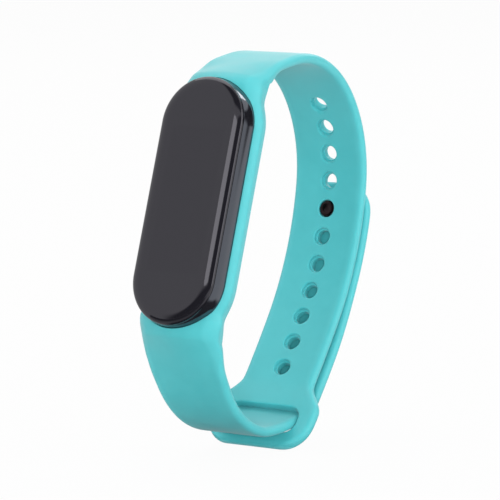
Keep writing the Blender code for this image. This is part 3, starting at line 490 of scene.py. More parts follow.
def root_section(path, distance, side, taper):
    """Row of the pocket, of a strap's root or of the plain strap."""
    y, z, heading, _ = at(path, distance)
    change = smoothstep(distance, ROOT_START, ROOT_END)
    ending = smoothstep(distance, END_Z, HALF_LENGTH)
    past = min(max(distance - END_Z, 0.0), HOLDER_RADIUS)
    pocket, strap = sqrt(HOLDER_RADIUS ** 2 - past ** 2), strap_width(distance, taper)
    swell = swelling(distance, UPPER_SWELLS if side > 0 else LOWER_SWELLS)
    width = (pocket + strap + sqrt((pocket - strap) ** 2 + (ending * ROOT_BLEND) ** 2)) / 2 + swell
    thickness = between((POCKET_DEPTH, STRAP_THICKNESS), change)
    sag = RIM_SAG * (1 - smoothstep(distance, SAG_START, SAG_END))
    draft = between(SIDE_DRAFT, ending) * (1 - change) + swell - swelling(distance, LESS_DRAFT)
    rounds = [between((between(corner, ending), STRAP_ROUND), change) for corner in (FRONT_ROUND, BACK_ROUND)]
    return section((y, z), inward(heading * change ** 1.5, side), width, thickness, sag, draft, rounds)


def rounded_end(outer, direction, half_width, thickness, left):
    """Row near a free edge, thinned so that the edge is round."""
    full = sqrt(1 - (1 - min(left / thickness * 2, 1.0)) ** 2)
    thin = thickness * max(full, 0.25)
    shift = (thickness - thin) / 2
    moved = (outer[0] + direction[0] * shift, outer[1] + direction[1] * shift)
    return section(moved, direction, half_width, thin)


def corner_width(half_width, radius, left):
    if left >= radius:
        return half_width
    return half_width - radius + sqrt(radius ** 2 - (radius - left) ** 2)


def stations(start, end, spacing):
    count = max(1, round(abs(end - start) / spacing))
    return [start + (end - start) * i / count for i in range(count + 1)]


def end_distances(radius):
    return [radius * (1 - cos(radians(15 * i))) for i in range(6, -1, -1)]


def pocket_stations(path_end):
    rows = stations(0.0, END_Z, 2.4)
    rows += stations(END_Z, HALF_LENGTH - 0.8, 0.9)[1:]
    rows += stations(rows[-1], HALF_LENGTH + 2.0, 0.5)[1:]
    rows += stations(rows[-1], ROOT_END, 1.2)[1:]
    return rows + stations(ROOT_END, path_end, 2.2)[1:]


def facing(distance, depth=0.0):
    """Placement whose z points out of the upper strap's face."""
    y, z, heading, _ = at(upper, distance)
    way = inward(heading, 1)
    out = Vector((0, -way[0], -way[1]))
    across = Vector((1, 0, 0))
    place = Matrix((across, out.cross(across), out)).transposed().to_4x4()
    place.translation = Vector((0, y + way[0] * depth, z + way[1] * depth))
    return place


def tail_section(distance):
    """Outer point and inward direction of the tail on the upper strap."""
    y, z, heading, _ = at(upper, distance)
    way = inward(heading, 1)
    stand = TAIL_GAP + STRAP_THICKNESS + TAIL_RISE * smoothstep(distance, FLEX_ROW - 10, FLEX_ROW + 5)
    return (y - way[0] * stand, z - way[1] * stand), way


def loop_row(distance):
    y, z, heading, _ = at(upper, distance)
    left = LOOP_END - distance
    strap = strap_width(distance, UPPER_TAPER)
    wide = strap + (LOOP_WIDTH / 2 - strap) * smoothstep(distance, FLARE_START, FLARE_END)
    grown = smoothstep(distance, FLARE_START, SLOT_TOP)
    thickness = STRAP_THICKNESS + (LOOP_THICKNESS - STRAP_THICKNESS) * grown
    return rounded_end((y, z), inward(heading, 1), corner_width(wide, LOOP_CORNER, left), thickness, left)


upper, lower = side_path(UPPER_SIDE, 1), side_path(LOWER_SIDE, -1)

# from the loop's end over the pocket and through the loop to the tail's tip
loop_rows = stations(FLARE_START, LOOP_END - LOOP_CORNER, 0.9)[1:]
loop_rows += [LOOP_END - left for left in end_distances(LOOP_CORNER)[1:]]
rows = [loop_row(distance) for distance in reversed(loop_rows)]
rows += [root_section(upper, s, 1, UPPER_TAPER) for s in reversed(pocket_stations(FLARE_START))]
middle_row = len(rows) - 1
rows += [root_section(lower, s, -1, LOWER_TAPER) for s in pocket_stations(lower[-1][3])[1:]]

# the lower strap's turn, out through the slot, on a curve with four handles
y, z, heading, _ = lower[-1]
joined, joined_way = tail_section(FLAT_ROW)
handles = [Vector((y, z)), Vector((y, z)) + Vector((sin(heading), -cos(heading))) * TURN_IN,
           Vector(joined) - Vector((joined_way[1], -joined_way[0])) * TURN_OUT, Vector(joined)]
slot_y, slot_z, slot_heading, _ = at(upper, SLOT_TOP + LOOP_SLOT / 2)
slot_way = inward(slot_heading, 1)
slot_middle = Vector((slot_y, slot_z)) + Vector(slot_way) * LOOP_THICKNESS / 2
seam_row, seam_distance = 0, 1e9
for step in range(1, TURN_STEPS + 1):
    t = step / TURN_STEPS
    weights = ((1 - t) ** 3, 3 * t * (1 - t) ** 2, 3 * t * t * (1 - t), t ** 3)
    slopes = (-3 * (1 - t) ** 2, 3 * (1 - t) ** 2 - 6 * t * (1 - t), 6 * t * (1 - t) - 3 * t * t, 3 * t * t)
    point = sum((w * h for w, h in zip(weights, handles)), Vector((0, 0)))
    way = sum((s * h for s, h in zip(slopes, handles)), Vector((0, 0))).normalized()
    rows.append(section(point, (-way.y, way.x), STRAP_WIDTH / 2, STRAP_THICKNESS))
    centre = point + Vector((-way.y, way.x)) * STRAP_THICKNESS / 2
    if (centre - slot_middle).length < seam_distance:
        seam_row, seam_distance = len(rows) - 1, (centre - slot_middle).length
for distance in stations(FLAT_ROW, TIP_ROW + TAIL_CORNER, 2.0)[1:]:
    outer, way = tail_section(distance)
    rows.append(section(outer, way, STRAP_WIDTH / 2, STRAP_THICKNESS))
for left in end_distances(TAIL_CORNER)[1:]:
    outer, way = tail_section(TIP_ROW + left)
    width = corner_width(STRAP_WIDTH / 2, TAIL_CORNER, left)
    rows.append(rounded_end(outer, way, width, STRAP_THICKNESS, left))

band = draw_piece("wristband_moulding", rows)
row_of = band.data.attributes.new("row", 'FLOAT', 'POINT')
# marks the strap's rounded edges, which the material paints paler as a painted highlight
edge = band.data.attributes.new("edge", 'FLOAT', 'POINT')
around = len(rows[0])
half, flat = around // 2, len(FACE_SHARES) + 1
for index in range(len(band.data.vertices)):
    row_of.data[index].value = index // around
    corner = min(index % around, around - index % around)
    edge.data[index].value = 1.0 if flat <= corner <= half - flat else 0.0
apply_modifier(band, 'SUBSURF', levels=2, render_levels=2)


def part_from(piece, name, first_row):
    """Parts a strap at a row; what lies past the row becomes a piece of its own."""
    skin = open_piece(piece, 'FACE')
    row_of = skin.verts.layers.float["row"]
    for face in skin.faces:
        face.select_set(sum(vert[row_of] for vert in face.verts) / len(face.verts) > first_row)
    bpy.ops.mesh.separate(type='SELECTED')
    bpy.ops.object.mode_set(mode='OBJECT')
    parted = next(part for part in bpy.context.selected_objects if part != piece)
    parted.name = parted.data.name = name
    return parted


def cap_row(piece, row):
    """Closes the open end of a strap that lies at a row."""
    skin = open_piece(piece, 'EDGE')
    row_of = skin.verts.layers.float["row"]
    for rim in skin.edges:
        rim.select_set(rim.is_boundary and all(abs(vert[row_of] - row) < 0.01 for vert in rim.verts))
    bpy.ops.mesh.edge_face_add()
    bpy.ops.mesh.select_mode(type='VERT')
    bpy.ops.object.mode_set(mode='OBJECT')


# the strap parts in the slot, so that its tail can bend, and for a while in the
# middle of the pocket, so that the slot is cut before the strap runs through it
lower_half = part_from(band, "lower_half", middle_row)
tail = part_from(lower_half, "strap_end", seam_row)
for part, row in ((band, middle_row), (lower_half, seam_row), (tail, seam_row)):
    cap_row(part, row)


def round_row(radius, height, count=40):
    return [Vector((radius * cos(2 * pi * i / count), radius * sin(2 * pi * i / count), height))
            for i in range(count)]


# stepped holes, wider on the wrist side, with both rims rounded
over = 0.4
outer_rim = arc((HOLE_RADIUS + HOLE_ROUND, -HOLE_ROUND), (HOLE_ROUND, HOLE_ROUND), 90, 180, 4)
inner_rim = arc((HOLE_RECESS + HOLE_ROUND, HOLE_ROUND - STRAP_THICKNESS), (HOLE_ROUND, HOLE_ROUND),
                180, 270, 4)
step = RECESS_DEPTH - STRAP_THICKNESS
profile = [(HOLE_RADIUS + HOLE_ROUND + over, over)] + outer_rim
profile += [(HOLE_RADIUS, step + 0.08), (HOLE_RADIUS + 0.08, step), (HOLE_RECESS - 0.06, step),
            (HOLE_RECESS, step - 0.06)] + inner_rim
profile += [(HOLE_RECESS + HOLE_ROUND + over, -STRAP_THICKNESS - over)]
first_hole = draw_piece("hole", [round_row(r, h) for r, h in profile])
holes = []
for distance in HOLE_ROWS:
    hole = first_hole.copy()
    hole.data = first_hole.data.copy()
    hole.data.transform(facing(distance))
    scene.collection.objects.link(hole)
    holes.append(hole)
bpy.data.objects.remove(first_hole, do_unlink=True)
pick(*holes)
bpy.ops.object.join()
cut_away(band, bpy.context.object)


def slot_outline(grown, height):
    """Rounded rectangle across the loop, grown outward all round."""
    radius = SLOT_CORNER + grown
    points = []
    for corner_x, corner_y, start in ((1, 1, 0), (-1, 1, 90), (-1, -1, 180), (1, -1, 270)):
        centre = (corner_x * (SLOT_WIDTH / 2 - SLOT_CORNER), corner_y * (LOOP_SLOT / 2 - SLOT_CORNER))
        points += arc(centre, (radius, radius), start, start + 90, 8)
    return [Vector((x, y, height)) for x, y in points]


rim = arc((SLOT_ROUND, -SLOT_ROUND), (SLOT_ROUND, SLOT_ROUND), 90, 180, 4)
profile = [(SLOT_ROUND + 0.9, 0.9)] + rim
profile += [(grown, -LOOP_THICKNESS - h) for grown, h in reversed(profile)]
slot = draw_piece("slot", [slot_outline(grown, height) for grown, height in profile])
slot.data.transform(facing(SLOT_TOP + LOOP_SLOT / 2))
cut_away(band, slot)

# the halves join again in the middle of the pocket
pick(band, lower_half)
bpy.ops.object.join()
skin = open_piece(band, 'FACE')
for face in skin.faces:
    face.select_set(all(abs(vert.co.z) < 0.001 for vert in face.verts))
bpy.ops.mesh.delete(type='ONLY_FACE')
bpy.ops.mesh.select_mode(type='VERT')
bpy.ops.mesh.select_all(action='DESELECT')
skin = bmesh.from_edit_mesh(band.data)
for vert in skin.verts:
    vert.select_set(abs(vert.co.z) < 0.001)
bpy.ops.mesh.remove_doubles(threshold=0.001)
bpy.ops.object.mode_set(mode='OBJECT')


def stadium_row(radius, y, end_z=END_Z, count=96):
    """A long round outline, in the capsule's plane at depth y."""
    points = []
    for i in range(count):
        x, z = cos(2 * pi * (i + 0.5) / count), sin(2 * pi * (i + 0.5) / count)
        points.append(Vector((radius * x, y, radius * z + (end_z if z > 0 else -end_z))))
    return points


def skin_depth(piece, point):
    """Depth of the band's front skin over a point of the capsule's plane."""
    hit, place, _, _ = piece.ray_cast(Vector((point.x, -20.0, point.z)), Vector((0, 1, 0)))
    return place.y if hit else 0.0


def rim_row(radius, drop):
    """An outline of the pocket's rim that follows the skin, drop below it."""
    return [Vector((p.x, skin_depth(band, p) + drop, p.z)) for p in stadium_row(radius, 0.0)]


bpy.context.view_layer.update()
pocket_rows = [stadium_row(POCKET_RADIUS + RIM_ROUND + 0.5, -6.0),
               rim_row(POCKET_RADIUS + RIM_ROUND + 0.1, -0.12)]
pocket_rows += [rim_row(POCKET_RADIUS + RIM_ROUND * (1 - cos(a)), RIM_ROUND * (1 - sin(a)))
                for a in (radians(turn) for turn in (80, 60, 40, 20, 0))]
pocket_rows += [stadium_row(radius, depth) for radius, depth in (
    (POCKET_RADIUS, 3.45), (POCKET_RADIUS - 0.05, 3.6), (LEDGE_RADIUS + 0.1, 4.2), (LEDGE_RADIUS, 4.35),
    (LEDGE_RADIUS, POCKET_DEPTH - 1.85), (LIP_RADIUS + 0.12, POCKET_DEPTH - 1.12),
    (LIP_RADIUS, POCKET_DEPTH - 0.95), (LIP_RADIUS, POCKET_DEPTH + 4.0))]
cut_away(band, draw_piece("pocket", pocket_rows))


def new_group(name, inputs, outputs):
    """An effect that materials share: its node group, and the values given to it."""
    group = bpy.data.node_groups.new(name, 'ShaderNodeTree')
    for socket, kind in inputs.items():
        group.interface.new_socket(socket, in_out='INPUT', socket_type='NodeSocket' + kind)
    for socket in outputs:
        group.interface.new_socket(socket, in_out='OUTPUT', socket_type='NodeSocketFloat')
    return group, add_node(group, "NodeGroupInput").outputs


def noise(tree, place, scale, **values):
    return add_node(tree, "ShaderNodeTexNoise", {"Vector": place, "Scale": scale, **values}).outputs["Fac"]


# fine moulded grain with a slow mottling under it, for soft and hard plastic
moulded_grain, given = new_group(
    "moulded_grain", {"Place": 'Vector', "Fineness": 'Float', "Patches": 'Float'}, ("Mottle", "Grain"))
slow = noise(moulded_grain, given["Place"], given["Patches"], Detail=3.0, Roughness=0.55)
fine = noise(moulded_grain, given["Place"], given["Fineness"], Detail=2.0, Roughness=0.6)
add_node(moulded_grain, "NodeGroupOutput", {"Mottle": spread_value(moulded_grain, slow, start=0.3, end=0.7),
                                            "Grain": fine})


def new_material(name, values=None):
    """A material with some values of its Principled shader, and the piece's own coordinates."""
    made = bpy.data.materials.new(name)
    made.use_nodes = True
    tree = made.node_tree
    shader = tree.nodes["Principled BSDF"]
    for socket, value in (values or {}).items():
        shader.inputs[socket].default_value = value
    place = add_node(tree, "ShaderNodeTexCoord")
    return made, tree, shader, place.outputs["Object"]


def grained(tree, place, fineness, patches):
    group = add_node(tree, "ShaderNodeGroup", {"Place": place, "Fineness": fineness, "Patches": patches},
                     node_tree=moulded_grain)
    return group.outputs["Mottle"], group.outputs["Grain"]


def blend_colours(tree, share, first, second):
    """Mixes two colours, each a triple or the output of another node."""
    mix = add_node(tree, "ShaderNodeMix", data_type='RGBA')
    for socket, value in ((mix.inputs[0], share), (mix.inputs[6], first), (mix.inputs[7], second)):
        if isinstance(value, bpy.types.NodeSocket):
            tree.links.new(value, socket)
        else:
            socket.default_value = (*value, 1.0) if isinstance(value, tuple) else value
    return mix.outputs[2]


def paint(tree, shader, colour, share, smooth, rough):
    """Gives a shader its colour, and a roughness between two values, by a mask."""
    tree.links.new(colour, shader.inputs["Base Color"])
    tree.links.new(spread_value(tree, share, smooth, rough), shader.inputs["Roughness"])


def raise_surface(tree, shader, height, depth, strength):
    """Raises the finish by a mask; the depth in metres."""
    bump = add_node(tree, "ShaderNodeBump", {"Height": height, "Distance": depth, "Strength": strength})
    tree.links.new(bump.outputs["Normal"], shader.inputs["Normal"])


tpu, tree, shader, place = new_material("turquoise_tpu", {
    "Subsurface Weight": 0.3, "Subsurface Radius": (0.35, 1.0, 1.0), "Subsurface Scale": 0.0012,
    "Sheen Weight": 0.18, "Sheen Roughness": 0.40})
mottle, grain = grained(tree, place, 5200.0, 260.0)
edge = add_node(tree, "ShaderNodeAttribute", attribute_name="edge")
colour = blend_colours(tree, mottle, (0.064, 0.470, 0.503), (0.076, 0.502, 0.535))
# a paler teal along the rounded edges: a painted highlight
painted_edge_highlight = calculate(tree, 'MULTIPLY', edge.outputs["Fac"], 0.18)
paint(tree, shader, blend_colours(tree, painted_edge_highlight, colour, (0.16, 0.66, 0.70)), mottle, 0.46, 0.56)
raise_surface(tree, shader, grain, 0.00002, 0.35)

for part in (band, tail):
    part.data.materials.clear()
    part.data.materials.append(tpu)
    set_in_place(part, 40)
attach(band, "band")
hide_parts("wristband")

hinge = next(joint for joint in frame["joints"] if joint["name"] == "tail_unfasten")
_, _, bend_heading, _ = at(upper, FLEX_ROW)
along = lean_back.to_3x3() @ Vector((0, sin(bend_heading), cos(bend_heading)))
bend_line = Vector(hinge["pos_m"])
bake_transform(tail, "band", "clasp_tail", start=bend_line + along * 0.004, end=bend_line - along * 0.004)
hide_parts("strap_tail")

# ---------------------------------------------------------------- stud
# Dark plated steel: a turned pin with a mushroom head pressed through the strap's
# hole into its recess, and a plain round cap on the outside of the tail.

CAP_RADIUS = 3.2
HEAD_RADIUS = 1.6                 # wider than the hole, so that it holds
NECK_RADIUS = 0.95
BRUSHING = (200.0, 6000.0, 200.0)  # marks per metre, each way
MARK_DEPTH = 0.000003


def turned_piece(name, profile, place, count=48):
    """A turned piece from (radius, height) points, from its top to its foot."""
    piece = draw_piece(name, [round_row(r, h, count) for r, h in profile])
    piece.data.transform(place)
    return piece


# fine turning or brushing marks, long along one way of the given place
worked_metal, given = new_group(
    "worked_metal", {"Place": 'Vector', "Stretch": 'Vector', "Turned": 'Float'}, ("Marks", "Rub"))
pulled = add_node(worked_metal, "ShaderNodeVectorMath", {0: given["Place"], 1: given["Stretch"]},
                  operation='MULTIPLY')
straight = noise(worked_metal, pulled.outputs[0], 1.0, Detail=3.0)
radius = add_node(worked_metal, "ShaderNodeVectorMath", {0: given["Place"]}, operation='LENGTH')
rings = add_node(worked_metal, "ShaderNodeTexNoise",
                 {"W": calculate(worked_metal, 'MULTIPLY', radius.outputs["Value"], 9000.0), "Scale": 1.0,
                  "Detail": 2.0}, noise_dimensions='1D')
marks = add_node(worked_metal, "ShaderNodeMix", {0: given["Turned"], 2: straight, 3: rings.outputs["Fac"]})
worn = spread_value(worked_metal, noise(worked_metal, given["Place"], 700.0), start=0.35, end=0.65)
add_node(worked_metal, "NodeGroupOutput", {"Marks": marks.outputs[0], "Rub": worn})


def metal_finish(name, dark, light, roughness, place_from=None, turned=0.0):
    """A worked metal; place_from is the middle that turning marks run round."""
    made, tree, shader, place = new_material(name, {"Metallic": 1.0})
    if place_from is not None:
        moved = add_node(tree, "ShaderNodeMapping", {"Vector": place, "Location": [-c for c in place_from]})
        place = moved.outputs[0]
    group = add_node(tree, "ShaderNodeGroup", {"Place": place, "Stretch": BRUSHING, "Turned": turned},
                     node_tree=worked_metal)
    paint(tree, shader, blend_colours(tree, group.outputs["Marks"], dark, light), group.outputs["Rub"],
          roughness * 0.8, roughness * 1.25)
    raise_surface(tree, shader, group.outputs["Marks"], MARK_DEPTH, 0.5)
    return made


on_strap = facing(STUD_ROW, STRAP_THICKNESS)
cap_foot = 2 * STRAP_THICKNESS + TAIL_GAP + 0.06
pin_profile = [(NECK_RADIUS - 0.05, cap_foot + 0.5), (NECK_RADIUS, cap_foot + 0.45),
               (NECK_RADIUS, RECESS_DEPTH + 0.05), (NECK_RADIUS + 0.1, RECESS_DEPTH - 0.05),
               (HEAD_RADIUS - 0.06, RECESS_DEPTH - 0.1), (HEAD_RADIUS, RECESS_DEPTH - 0.18)]
pin_profile += arc((HEAD_RADIUS - 0.5, 0.44), (0.5, 0.34), 0, -90, 6)
pin_profile += [(0.75, 0.13), (0.62, 0.2), (0.3, 0.24)]
pin = turned_piece("stud_shank", pin_profile, on_strap, 40)
cap_profile = [(0.4, cap_foot + 1.2), (1.9, cap_foot + 1.19), (2.45, cap_foot + 1.12)]
cap_profile += arc((CAP_RADIUS - 0.6, cap_foot + 0.55), (0.6, 0.53), 80, 0, 6)
cap_profile += [(CAP_RADIUS, cap_foot + 0.16), (CAP_RADIUS - 0.08, cap_foot + 0.03), (1.2, cap_foot),
                (1.0, cap_foot), (1.0, cap_foot + 0.6), (0.4, cap_foot + 0.6)]
cap = turned_piece("stud_button", cap_profile, on_strap, 64)
stud_middle = band_place @ on_strap @ Vector((0, 0, cap_foot))
steel = metal_finish("dark_steel", (0.018, 0.013, 0.014), (0.036, 0.026, 0.027), 0.30,
                     place_from=stud_middle, turned=1.0)
for piece, node in ((pin, "stud_pin"), (cap, "stud_cap")):
    set_in_place(piece, 30)
    piece.data.materials.append(steel)
    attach(piece, "clasp_tail")
    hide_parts(node)

# ---------------------------------------------------------------- cover glass
# Strengthened glass, printed black behind, its rim ground to a soft round edge.
# Black foam tape holds it in the case.

GLASS_RADIUS = 8.7
GLASS_FRONT = -1.85               # depths in the capsule, from the strap's outer face
GLASS_BACK = -0.75
RIM_REACH, RIM_DEPTH = 2.0, 0.825
glass_rows = [(GLASS_RADIUS - 2.8, GLASS_FRONT)]
glass_rows += arc((GLASS_RADIUS - RIM_REACH, GLASS_FRONT + RIM_DEPTH), (RIM_REACH, RIM_DEPTH), -90, 0, 20)
glass_rows += [(GLASS_RADIUS, GLASS_BACK - 0.07), (GLASS_RADIUS - 0.07, GLASS_BACK),
               (GLASS_RADIUS - 0.6, GLASS_BACK)]
glass = draw_piece("screen_glass", [stadium_row(r, y) for r, y in glass_rows])
set_in_place(glass, 30)


def capsule_coordinates(tree, place):
    """Turns a place back into the capsule's own upright frame, in metres."""
    origin = band_place.translation
    back = Matrix.Rotation(LEAN, 3, 'X') @ origin
    turned = add_node(tree, "ShaderNodeMapping", {"Vector": place, "Rotation": (LEAN, 0.0, 0.0),
                                                  "Location": [-c for c in back]})
    return turned.outputs[0]


def box_mask(tree, vector, half_x, half_z, soft):
    """1 inside a rectangle of the capsule's plane, 0 outside it."""
    parts = add_node(tree, "ShaderNodeSeparateXYZ", {"Vector": vector})
    sides = []
    for axis, half in (("X", half_x), ("Z", half_z)):
        size = calculate(tree, 'ABSOLUTE', parts.outputs[axis])
        sides.append(spread_value(tree, size, start=half + soft, end=half - soft, ease='SMOOTHSTEP'))
    return calculate(tree, 'MULTIPLY', *sides)


DISPLAY_HALF = (0.0057, 0.0135)   # the display shows faintly through, in metres
black, tree, shader, place = new_material("screen_glass", {
    "IOR": 1.52, "Specular Tint": (0.93, 0.91, 1.0, 1.0)})
shown = box_mask(tree, capsule_coordinates(tree, place), *DISPLAY_HALF, 0.00012)
colour = blend_colours(tree, shown, (0.0108, 0.0104, 0.0140), (0.0094, 0.0090, 0.0125))
smear = add_node(tree, "ShaderNodeMapping", {"Vector": place, "Scale": (260.0, 80.0, 110.0),
                                             "Rotation": (0.0, 0.5, 0.0)})
paint(tree, shader, colour, noise(tree, smear.outputs[0], 1.0, Detail=5.0), 0.03, 0.075)
glass.data.materials.append(black)
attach(glass, "tracker")
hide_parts("cover_glass")

# ---------------------------------------------------------------- capsule case
# Two polycarbonate mouldings: a polished ring round the glass, and a satin tub
# behind it that lies on the wrist, with openings for the sensor and contacts.


def moulded_finish(name, dark, light, smooth, rough, fineness, patches, rough_by="Mottle", raised=0.0,
                   values=None):
    """A hard moulding: two tones, and from smooth to rough by its mottling or its grain."""
    made, tree, shader, place = new_material(name, values)
    masks = dict(zip(("Mottle", "Grain"), grained(tree, place, fineness, patches)))
    paint(tree, shader, blend_colours(tree, masks["Mottle"], dark, light), masks[rough_by], smooth, rough)
    if raised:
        raise_surface(tree, shader, masks["Grain"], 0.00001, raised)
    return made


# both cases as (radius, depth), from the inside round the outside and back
POLISHED_EDGE = 0.06
case_rows = [(8.0, -0.69), (8.64, -0.69), (8.72, -0.64), (8.78, -0.35), (8.86, 0.05), (8.94, 0.5),
             (8.985, 0.9), (9.0, 1.3), (9.0, 3.24), (8.94, 3.3), (7.7, 3.3), (7.7, 1.15), (7.0, 1.15),
             (7.0, 0.35), (8.0, 0.35)]
ring = draw_piece("case_ring", [stadium_row(r, y) for r, y in case_rows + case_rows[:1]], welded=True)
apply_modifier(ring, 'BEVEL', width=POLISHED_EDGE, segments=2, limit_method='ANGLE',
               angle_limit=radians(50))
set_in_place(ring, 30)
gloss = moulded_finish("glossy_case", (0.0115, 0.0115, 0.0150), (0.0150, 0.0148, 0.0190), 0.07, 0.12,
                       1500.0, 120.0, values={"IOR": 1.88, "Specular Tint": (0.76, 0.85, 1.0, 1.0)})
ring.data.materials.append(gloss)
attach(ring, "tracker")
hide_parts("upper_case")

TUB_RADIUS = CAPSULE_WIDTH / 2 - SNAP_STEP
tub_rows = [(4.4, 9.6)] + arc((4.4, 7.0), (2.8, 2.6), 90, 0, 8)
tub_rows += [(7.4, 6.3), (7.4, 4.2), (8.0, 4.2), (8.0, 3.6), (TUB_RADIUS - 0.06, 3.6),
             (TUB_RADIUS, 3.66), (TUB_RADIUS, 4.9), (8.40, 5.1), (8.17, 5.33),
             (7.35, 6.2), (7.25, 6.45), (7.25, 7.1)]
tub_rows += arc((5.0, 7.3), (2.1, 3.3), 0, 90, 12)
tub = draw_piece("case_tub", [stadium_row(r, y) for r, y in tub_rows])
# round wells for the sensor's window and the two contacts
for name, radius, x, z in (("window_seat", 4.2, 0.0, 0.0), ("contact_seat", 1.4, -2.6, -11.0),
                           ("contact_seat", 1.4, 2.6, -11.0)):
    well_rows = ((radius + 0.9, 11.4), (radius + 0.12, 10.62), (radius + 0.03, 10.52), (radius, 10.42),
                 (radius, 7.6))
    cut_away(tub, draw_piece(name, [[Vector((p.x + x, y, z - p.y)) for p in round_row(r, 0.0, 56)]
                                    for r, y in well_rows]))
set_in_place(tub, 32)
satin = moulded_finish("matt_case", (0.016, 0.016, 0.018), (0.021, 0.021, 0.023), 0.36, 0.48, 6500.0, 200.0,
                       raised=0.3)
tub.data.materials.append(satin)
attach(tub, "tracker")
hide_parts("lower_case")


def finish_nodes(made, *names):
    """Gives carried-over pieces their finish."""
    for name in names:
        for holder in frame["nodes"][name].material_slots:
            holder.material = made


# ---------------------------------------------------------------- glue and seals
# Black foam tape under the glass, a silicone seal in the case's groove and the
# foam wall that keeps the lamps' light off the light sensor.


def soft_finish(name, dark, light, roughness, fineness, depth):
    """Foam, silicone or paper, with fine cells."""
    made, tree, shader, place = new_material(name)
    mottle, grain = grained(tree, place, fineness, 900.0)
    cells = add_node(tree, "ShaderNodeTexVoronoi", {"Vector": place, "Scale": fineness * 0.6})
    paint(tree, shader, blend_colours(tree, mottle, dark, light), grain, roughness - 0.08, roughness + 0.08)
    raise_surface(tree, shader, cells.outputs["Distance"], depth, 0.6)
    return made


finish_nodes(soft_finish("foam_tape", (0.010, 0.010, 0.011), (0.020, 0.020, 0.021), 0.82, 4200.0, 0.00004),
             "glass_adhesive", "light_baffle")
finish_nodes(soft_finish("silicone_seal", (0.030, 0.032, 0.036), (0.045, 0.047, 0.052), 0.6, 8000.0, 0.00001),
             "case_seal")

# ---------------------------------------------------------------- screen stack
# A clear touch film with its fine grid, and the unlit display with its rows of
# picture cells under a dark polariser.


def grid_mask(tree, vector, pitch, line):
    """Thin lines both ways, pitch apart, in the capsule's plane."""
    parts = add_node(tree, "ShaderNodeSeparateXYZ", {"Vector": vector})
    lines = []
    for axis in ("X", "Z"):
        across = calculate(tree, 'PINGPONG', parts.outputs[axis], pitch)
        lines.append(calculate(tree, 'LESS_THAN', across, line))
    return calculate(tree, 'MAXIMUM', *lines)


def gridded_finish(name, base, line_colour, pitch, line, roughness):
    made, tree, shader, place = new_material(name)
    grid = grid_mask(tree, capsule_coordinates(tree, place), pitch, line)
    mottle, _ = grained(tree, place, 3000.0, 150.0)
    paint(tree, shader, blend_colours(tree, grid, base, line_colour), mottle,
          roughness * 0.8, roughness * 1.2)
    return made


finish_nodes(gridded_finish("touch_grid", (0.20, 0.21, 0.20), (0.33, 0.31, 0.24), 0.0012, 0.00006, 0.22),
             "touch_film")
finish_nodes(gridded_finish("display_cells", (0.006, 0.007, 0.010), (0.018, 0.020, 0.026), 0.00012, 0.00002,
                            0.16), "display_panel")
finish_nodes(gridded_finish("diode_cells", (0.012, 0.011, 0.022), (0.05, 0.045, 0.03), 0.0003, 0.00003,
                            0.14), "photodiode")

# ---------------------------------------------------------------- circuit boards
# Glass-fibre boards under a coloured lacquer, with copper tracks and plated
# through-holes, and amber film leads with a row of copper tracks.


# tracks that run and turn in steps, with plated holes between them
printed_tracks, given = new_group("printed_tracks", {"Place": 'Vector', "Pitch": 'Float'},
                                  ("Tracks", "Holes"))
parts = add_node(printed_tracks, "ShaderNodeSeparateXYZ", {"Vector": given["Place"]})
flat = add_node(printed_tracks, "ShaderNodeCombineXYZ", {"X": parts.outputs["X"], "Y": parts.outputs["Z"]})
count = calculate(printed_tracks, 'DIVIDE', 1.0, given["Pitch"])
cells = add_node(printed_tracks, "ShaderNodeTexVoronoi", {"Vector": flat.outputs[0], "Scale": count},
                 distance='CHEBYCHEV', voronoi_dimensions='2D')
steps = calculate(printed_tracks, 'PINGPONG', cells.outputs["Distance"], 0.16)
dots = add_node(printed_tracks, "ShaderNodeTexVoronoi", {"Vector": flat.outputs[0], "Scale": count,
                                                         "Randomness": 0.8}, voronoi_dimensions='2D')
add_node(printed_tracks, "NodeGroupOutput", {
    "Tracks": calculate(printed_tracks, 'LESS_THAN', steps, 0.05),
    "Holes": calculate(printed_tracks, 'LESS_THAN', dots.outputs["Distance"], 0.10)})


def board_finish(name, lacquer, over_copper, pitch):
    made, tree, shader, place = new_material(name)
    group = add_node(tree, "ShaderNodeGroup", {"Place": capsule_coordinates(tree, place), "Pitch": pitch},
                     node_tree=printed_tracks)
    mottle, _ = grained(tree, place, 5000.0, 400.0)
    colour = blend_colours(tree, group.outputs["Tracks"], lacquer, over_copper)
    paint(tree, shader, blend_colours(tree, group.outputs["Holes"], colour, (0.72, 0.50, 0.20)), mottle,
          0.28, 0.40)
    tree.links.new(group.outputs["Holes"], shader.inputs["Metallic"])
    raise_surface(tree, shader, group.outputs["Tracks"], 0.00002, 0.5)
    return made


finish_nodes(board_finish("green_lacquer", (0.006, 0.070, 0.035), (0.020, 0.130, 0.060), 0.0022),
             "main_board")
finish_nodes(board_finish("blue_lacquer", (0.010, 0.016, 0.065), (0.020, 0.040, 0.130), 0.0016),
             "sensor_board")

amber, tree, shader, place = new_material("amber_film")
parts = add_node(tree, "ShaderNodeSeparateXYZ", {"Vector": place})
line = calculate(tree, 'GREATER_THAN', calculate(tree, 'PINGPONG', parts.outputs["X"], 0.00022), 0.00012)
mottle, _ = grained(tree, place, 4000.0, 500.0)
paint(tree, shader, blend_colours(tree, line, (0.42, 0.17, 0.03), (0.62, 0.30, 0.10)), mottle, 0.25, 0.38)
raise_surface(tree, shader, line, 0.00001, 0.4)
finish_nodes(amber, "display_flex", "sensor_flex")

# ---------------------------------------------------------------- chips and lamps
# Black epoxy packages with a moulded grain, clear green lamp packages soldered to
# the sensor board, and the dark polished window that is glued in over them.

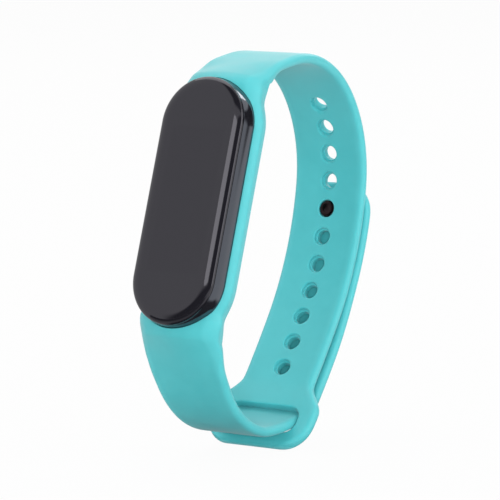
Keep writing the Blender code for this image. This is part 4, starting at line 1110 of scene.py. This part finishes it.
finish_nodes(moulded_finish("chip_epoxy", (0.014, 0.014, 0.015), (0.024, 0.024, 0.026), 0.45, 0.62,
                            9000.0, 1200.0, rough_by="Grain", raised=0.5),
             "bluetooth_chip", "power_chip", "motion_chip")
finish_nodes(moulded_finish("green_lamp", (0.10, 0.62, 0.22), (0.25, 0.85, 0.40), 0.12, 0.22,
                            3000.0, 1500.0, rough_by="Grain"), "sensor_led_1", "sensor_led_2")
finish_nodes(moulded_finish("sensor_window", (0.010, 0.010, 0.014), (0.016, 0.016, 0.022), 0.04, 0.08,
                            2000.0, 300.0), "sensor_window")

# ---------------------------------------------------------------- battery
# A soft pouch cell in embossed aluminium foil, held to the board by a strip of
# white double-sided tape.

foil, tree, shader, place = new_material("pouch_foil", {"Metallic": 1.0})
creases = noise(tree, place, 500.0, Detail=4.0, Distortion=1.5)
paint(tree, shader, blend_colours(tree, creases, (0.50, 0.51, 0.53), (0.68, 0.69, 0.71)), creases, 0.26, 0.42)
raise_surface(tree, shader, creases, 0.00012, 0.6)
finish_nodes(foil, "battery")
finish_nodes(soft_finish("paper_tape", (0.66, 0.64, 0.58), (0.80, 0.78, 0.73), 0.7, 2600.0, 0.00002),
             "battery_tape")

# ---------------------------------------------------------------- small metal parts
# The vibration motor's pressed steel can, the plated antenna strip, turned gold
# charging contacts and nickel-plated magnets.

motor_low, motor_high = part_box("vibration_motor")
finish_nodes(metal_finish("motor_can", (0.50, 0.50, 0.51), (0.64, 0.64, 0.65), 0.28,
                          place_from=(motor_low + motor_high) / 2, turned=1.0), "vibration_motor")
finish_nodes(metal_finish("antenna_plate", (0.62, 0.40, 0.14), (0.78, 0.54, 0.24), 0.3), "antenna")
for number in (1, 2):
    for name, dark, light, roughness in (("charge_contact", (0.72, 0.50, 0.20), (0.86, 0.64, 0.30), 0.2),
                                         ("dock_magnet", (0.44, 0.43, 0.41), (0.58, 0.57, 0.55), 0.24)):
        low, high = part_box(f"{name}_{number}")
        finish_nodes(metal_finish(f"{name}_plate_{number}", dark, light, roughness,
                                  place_from=(low + high) / 2, turned=0.85), f"{name}_{number}")
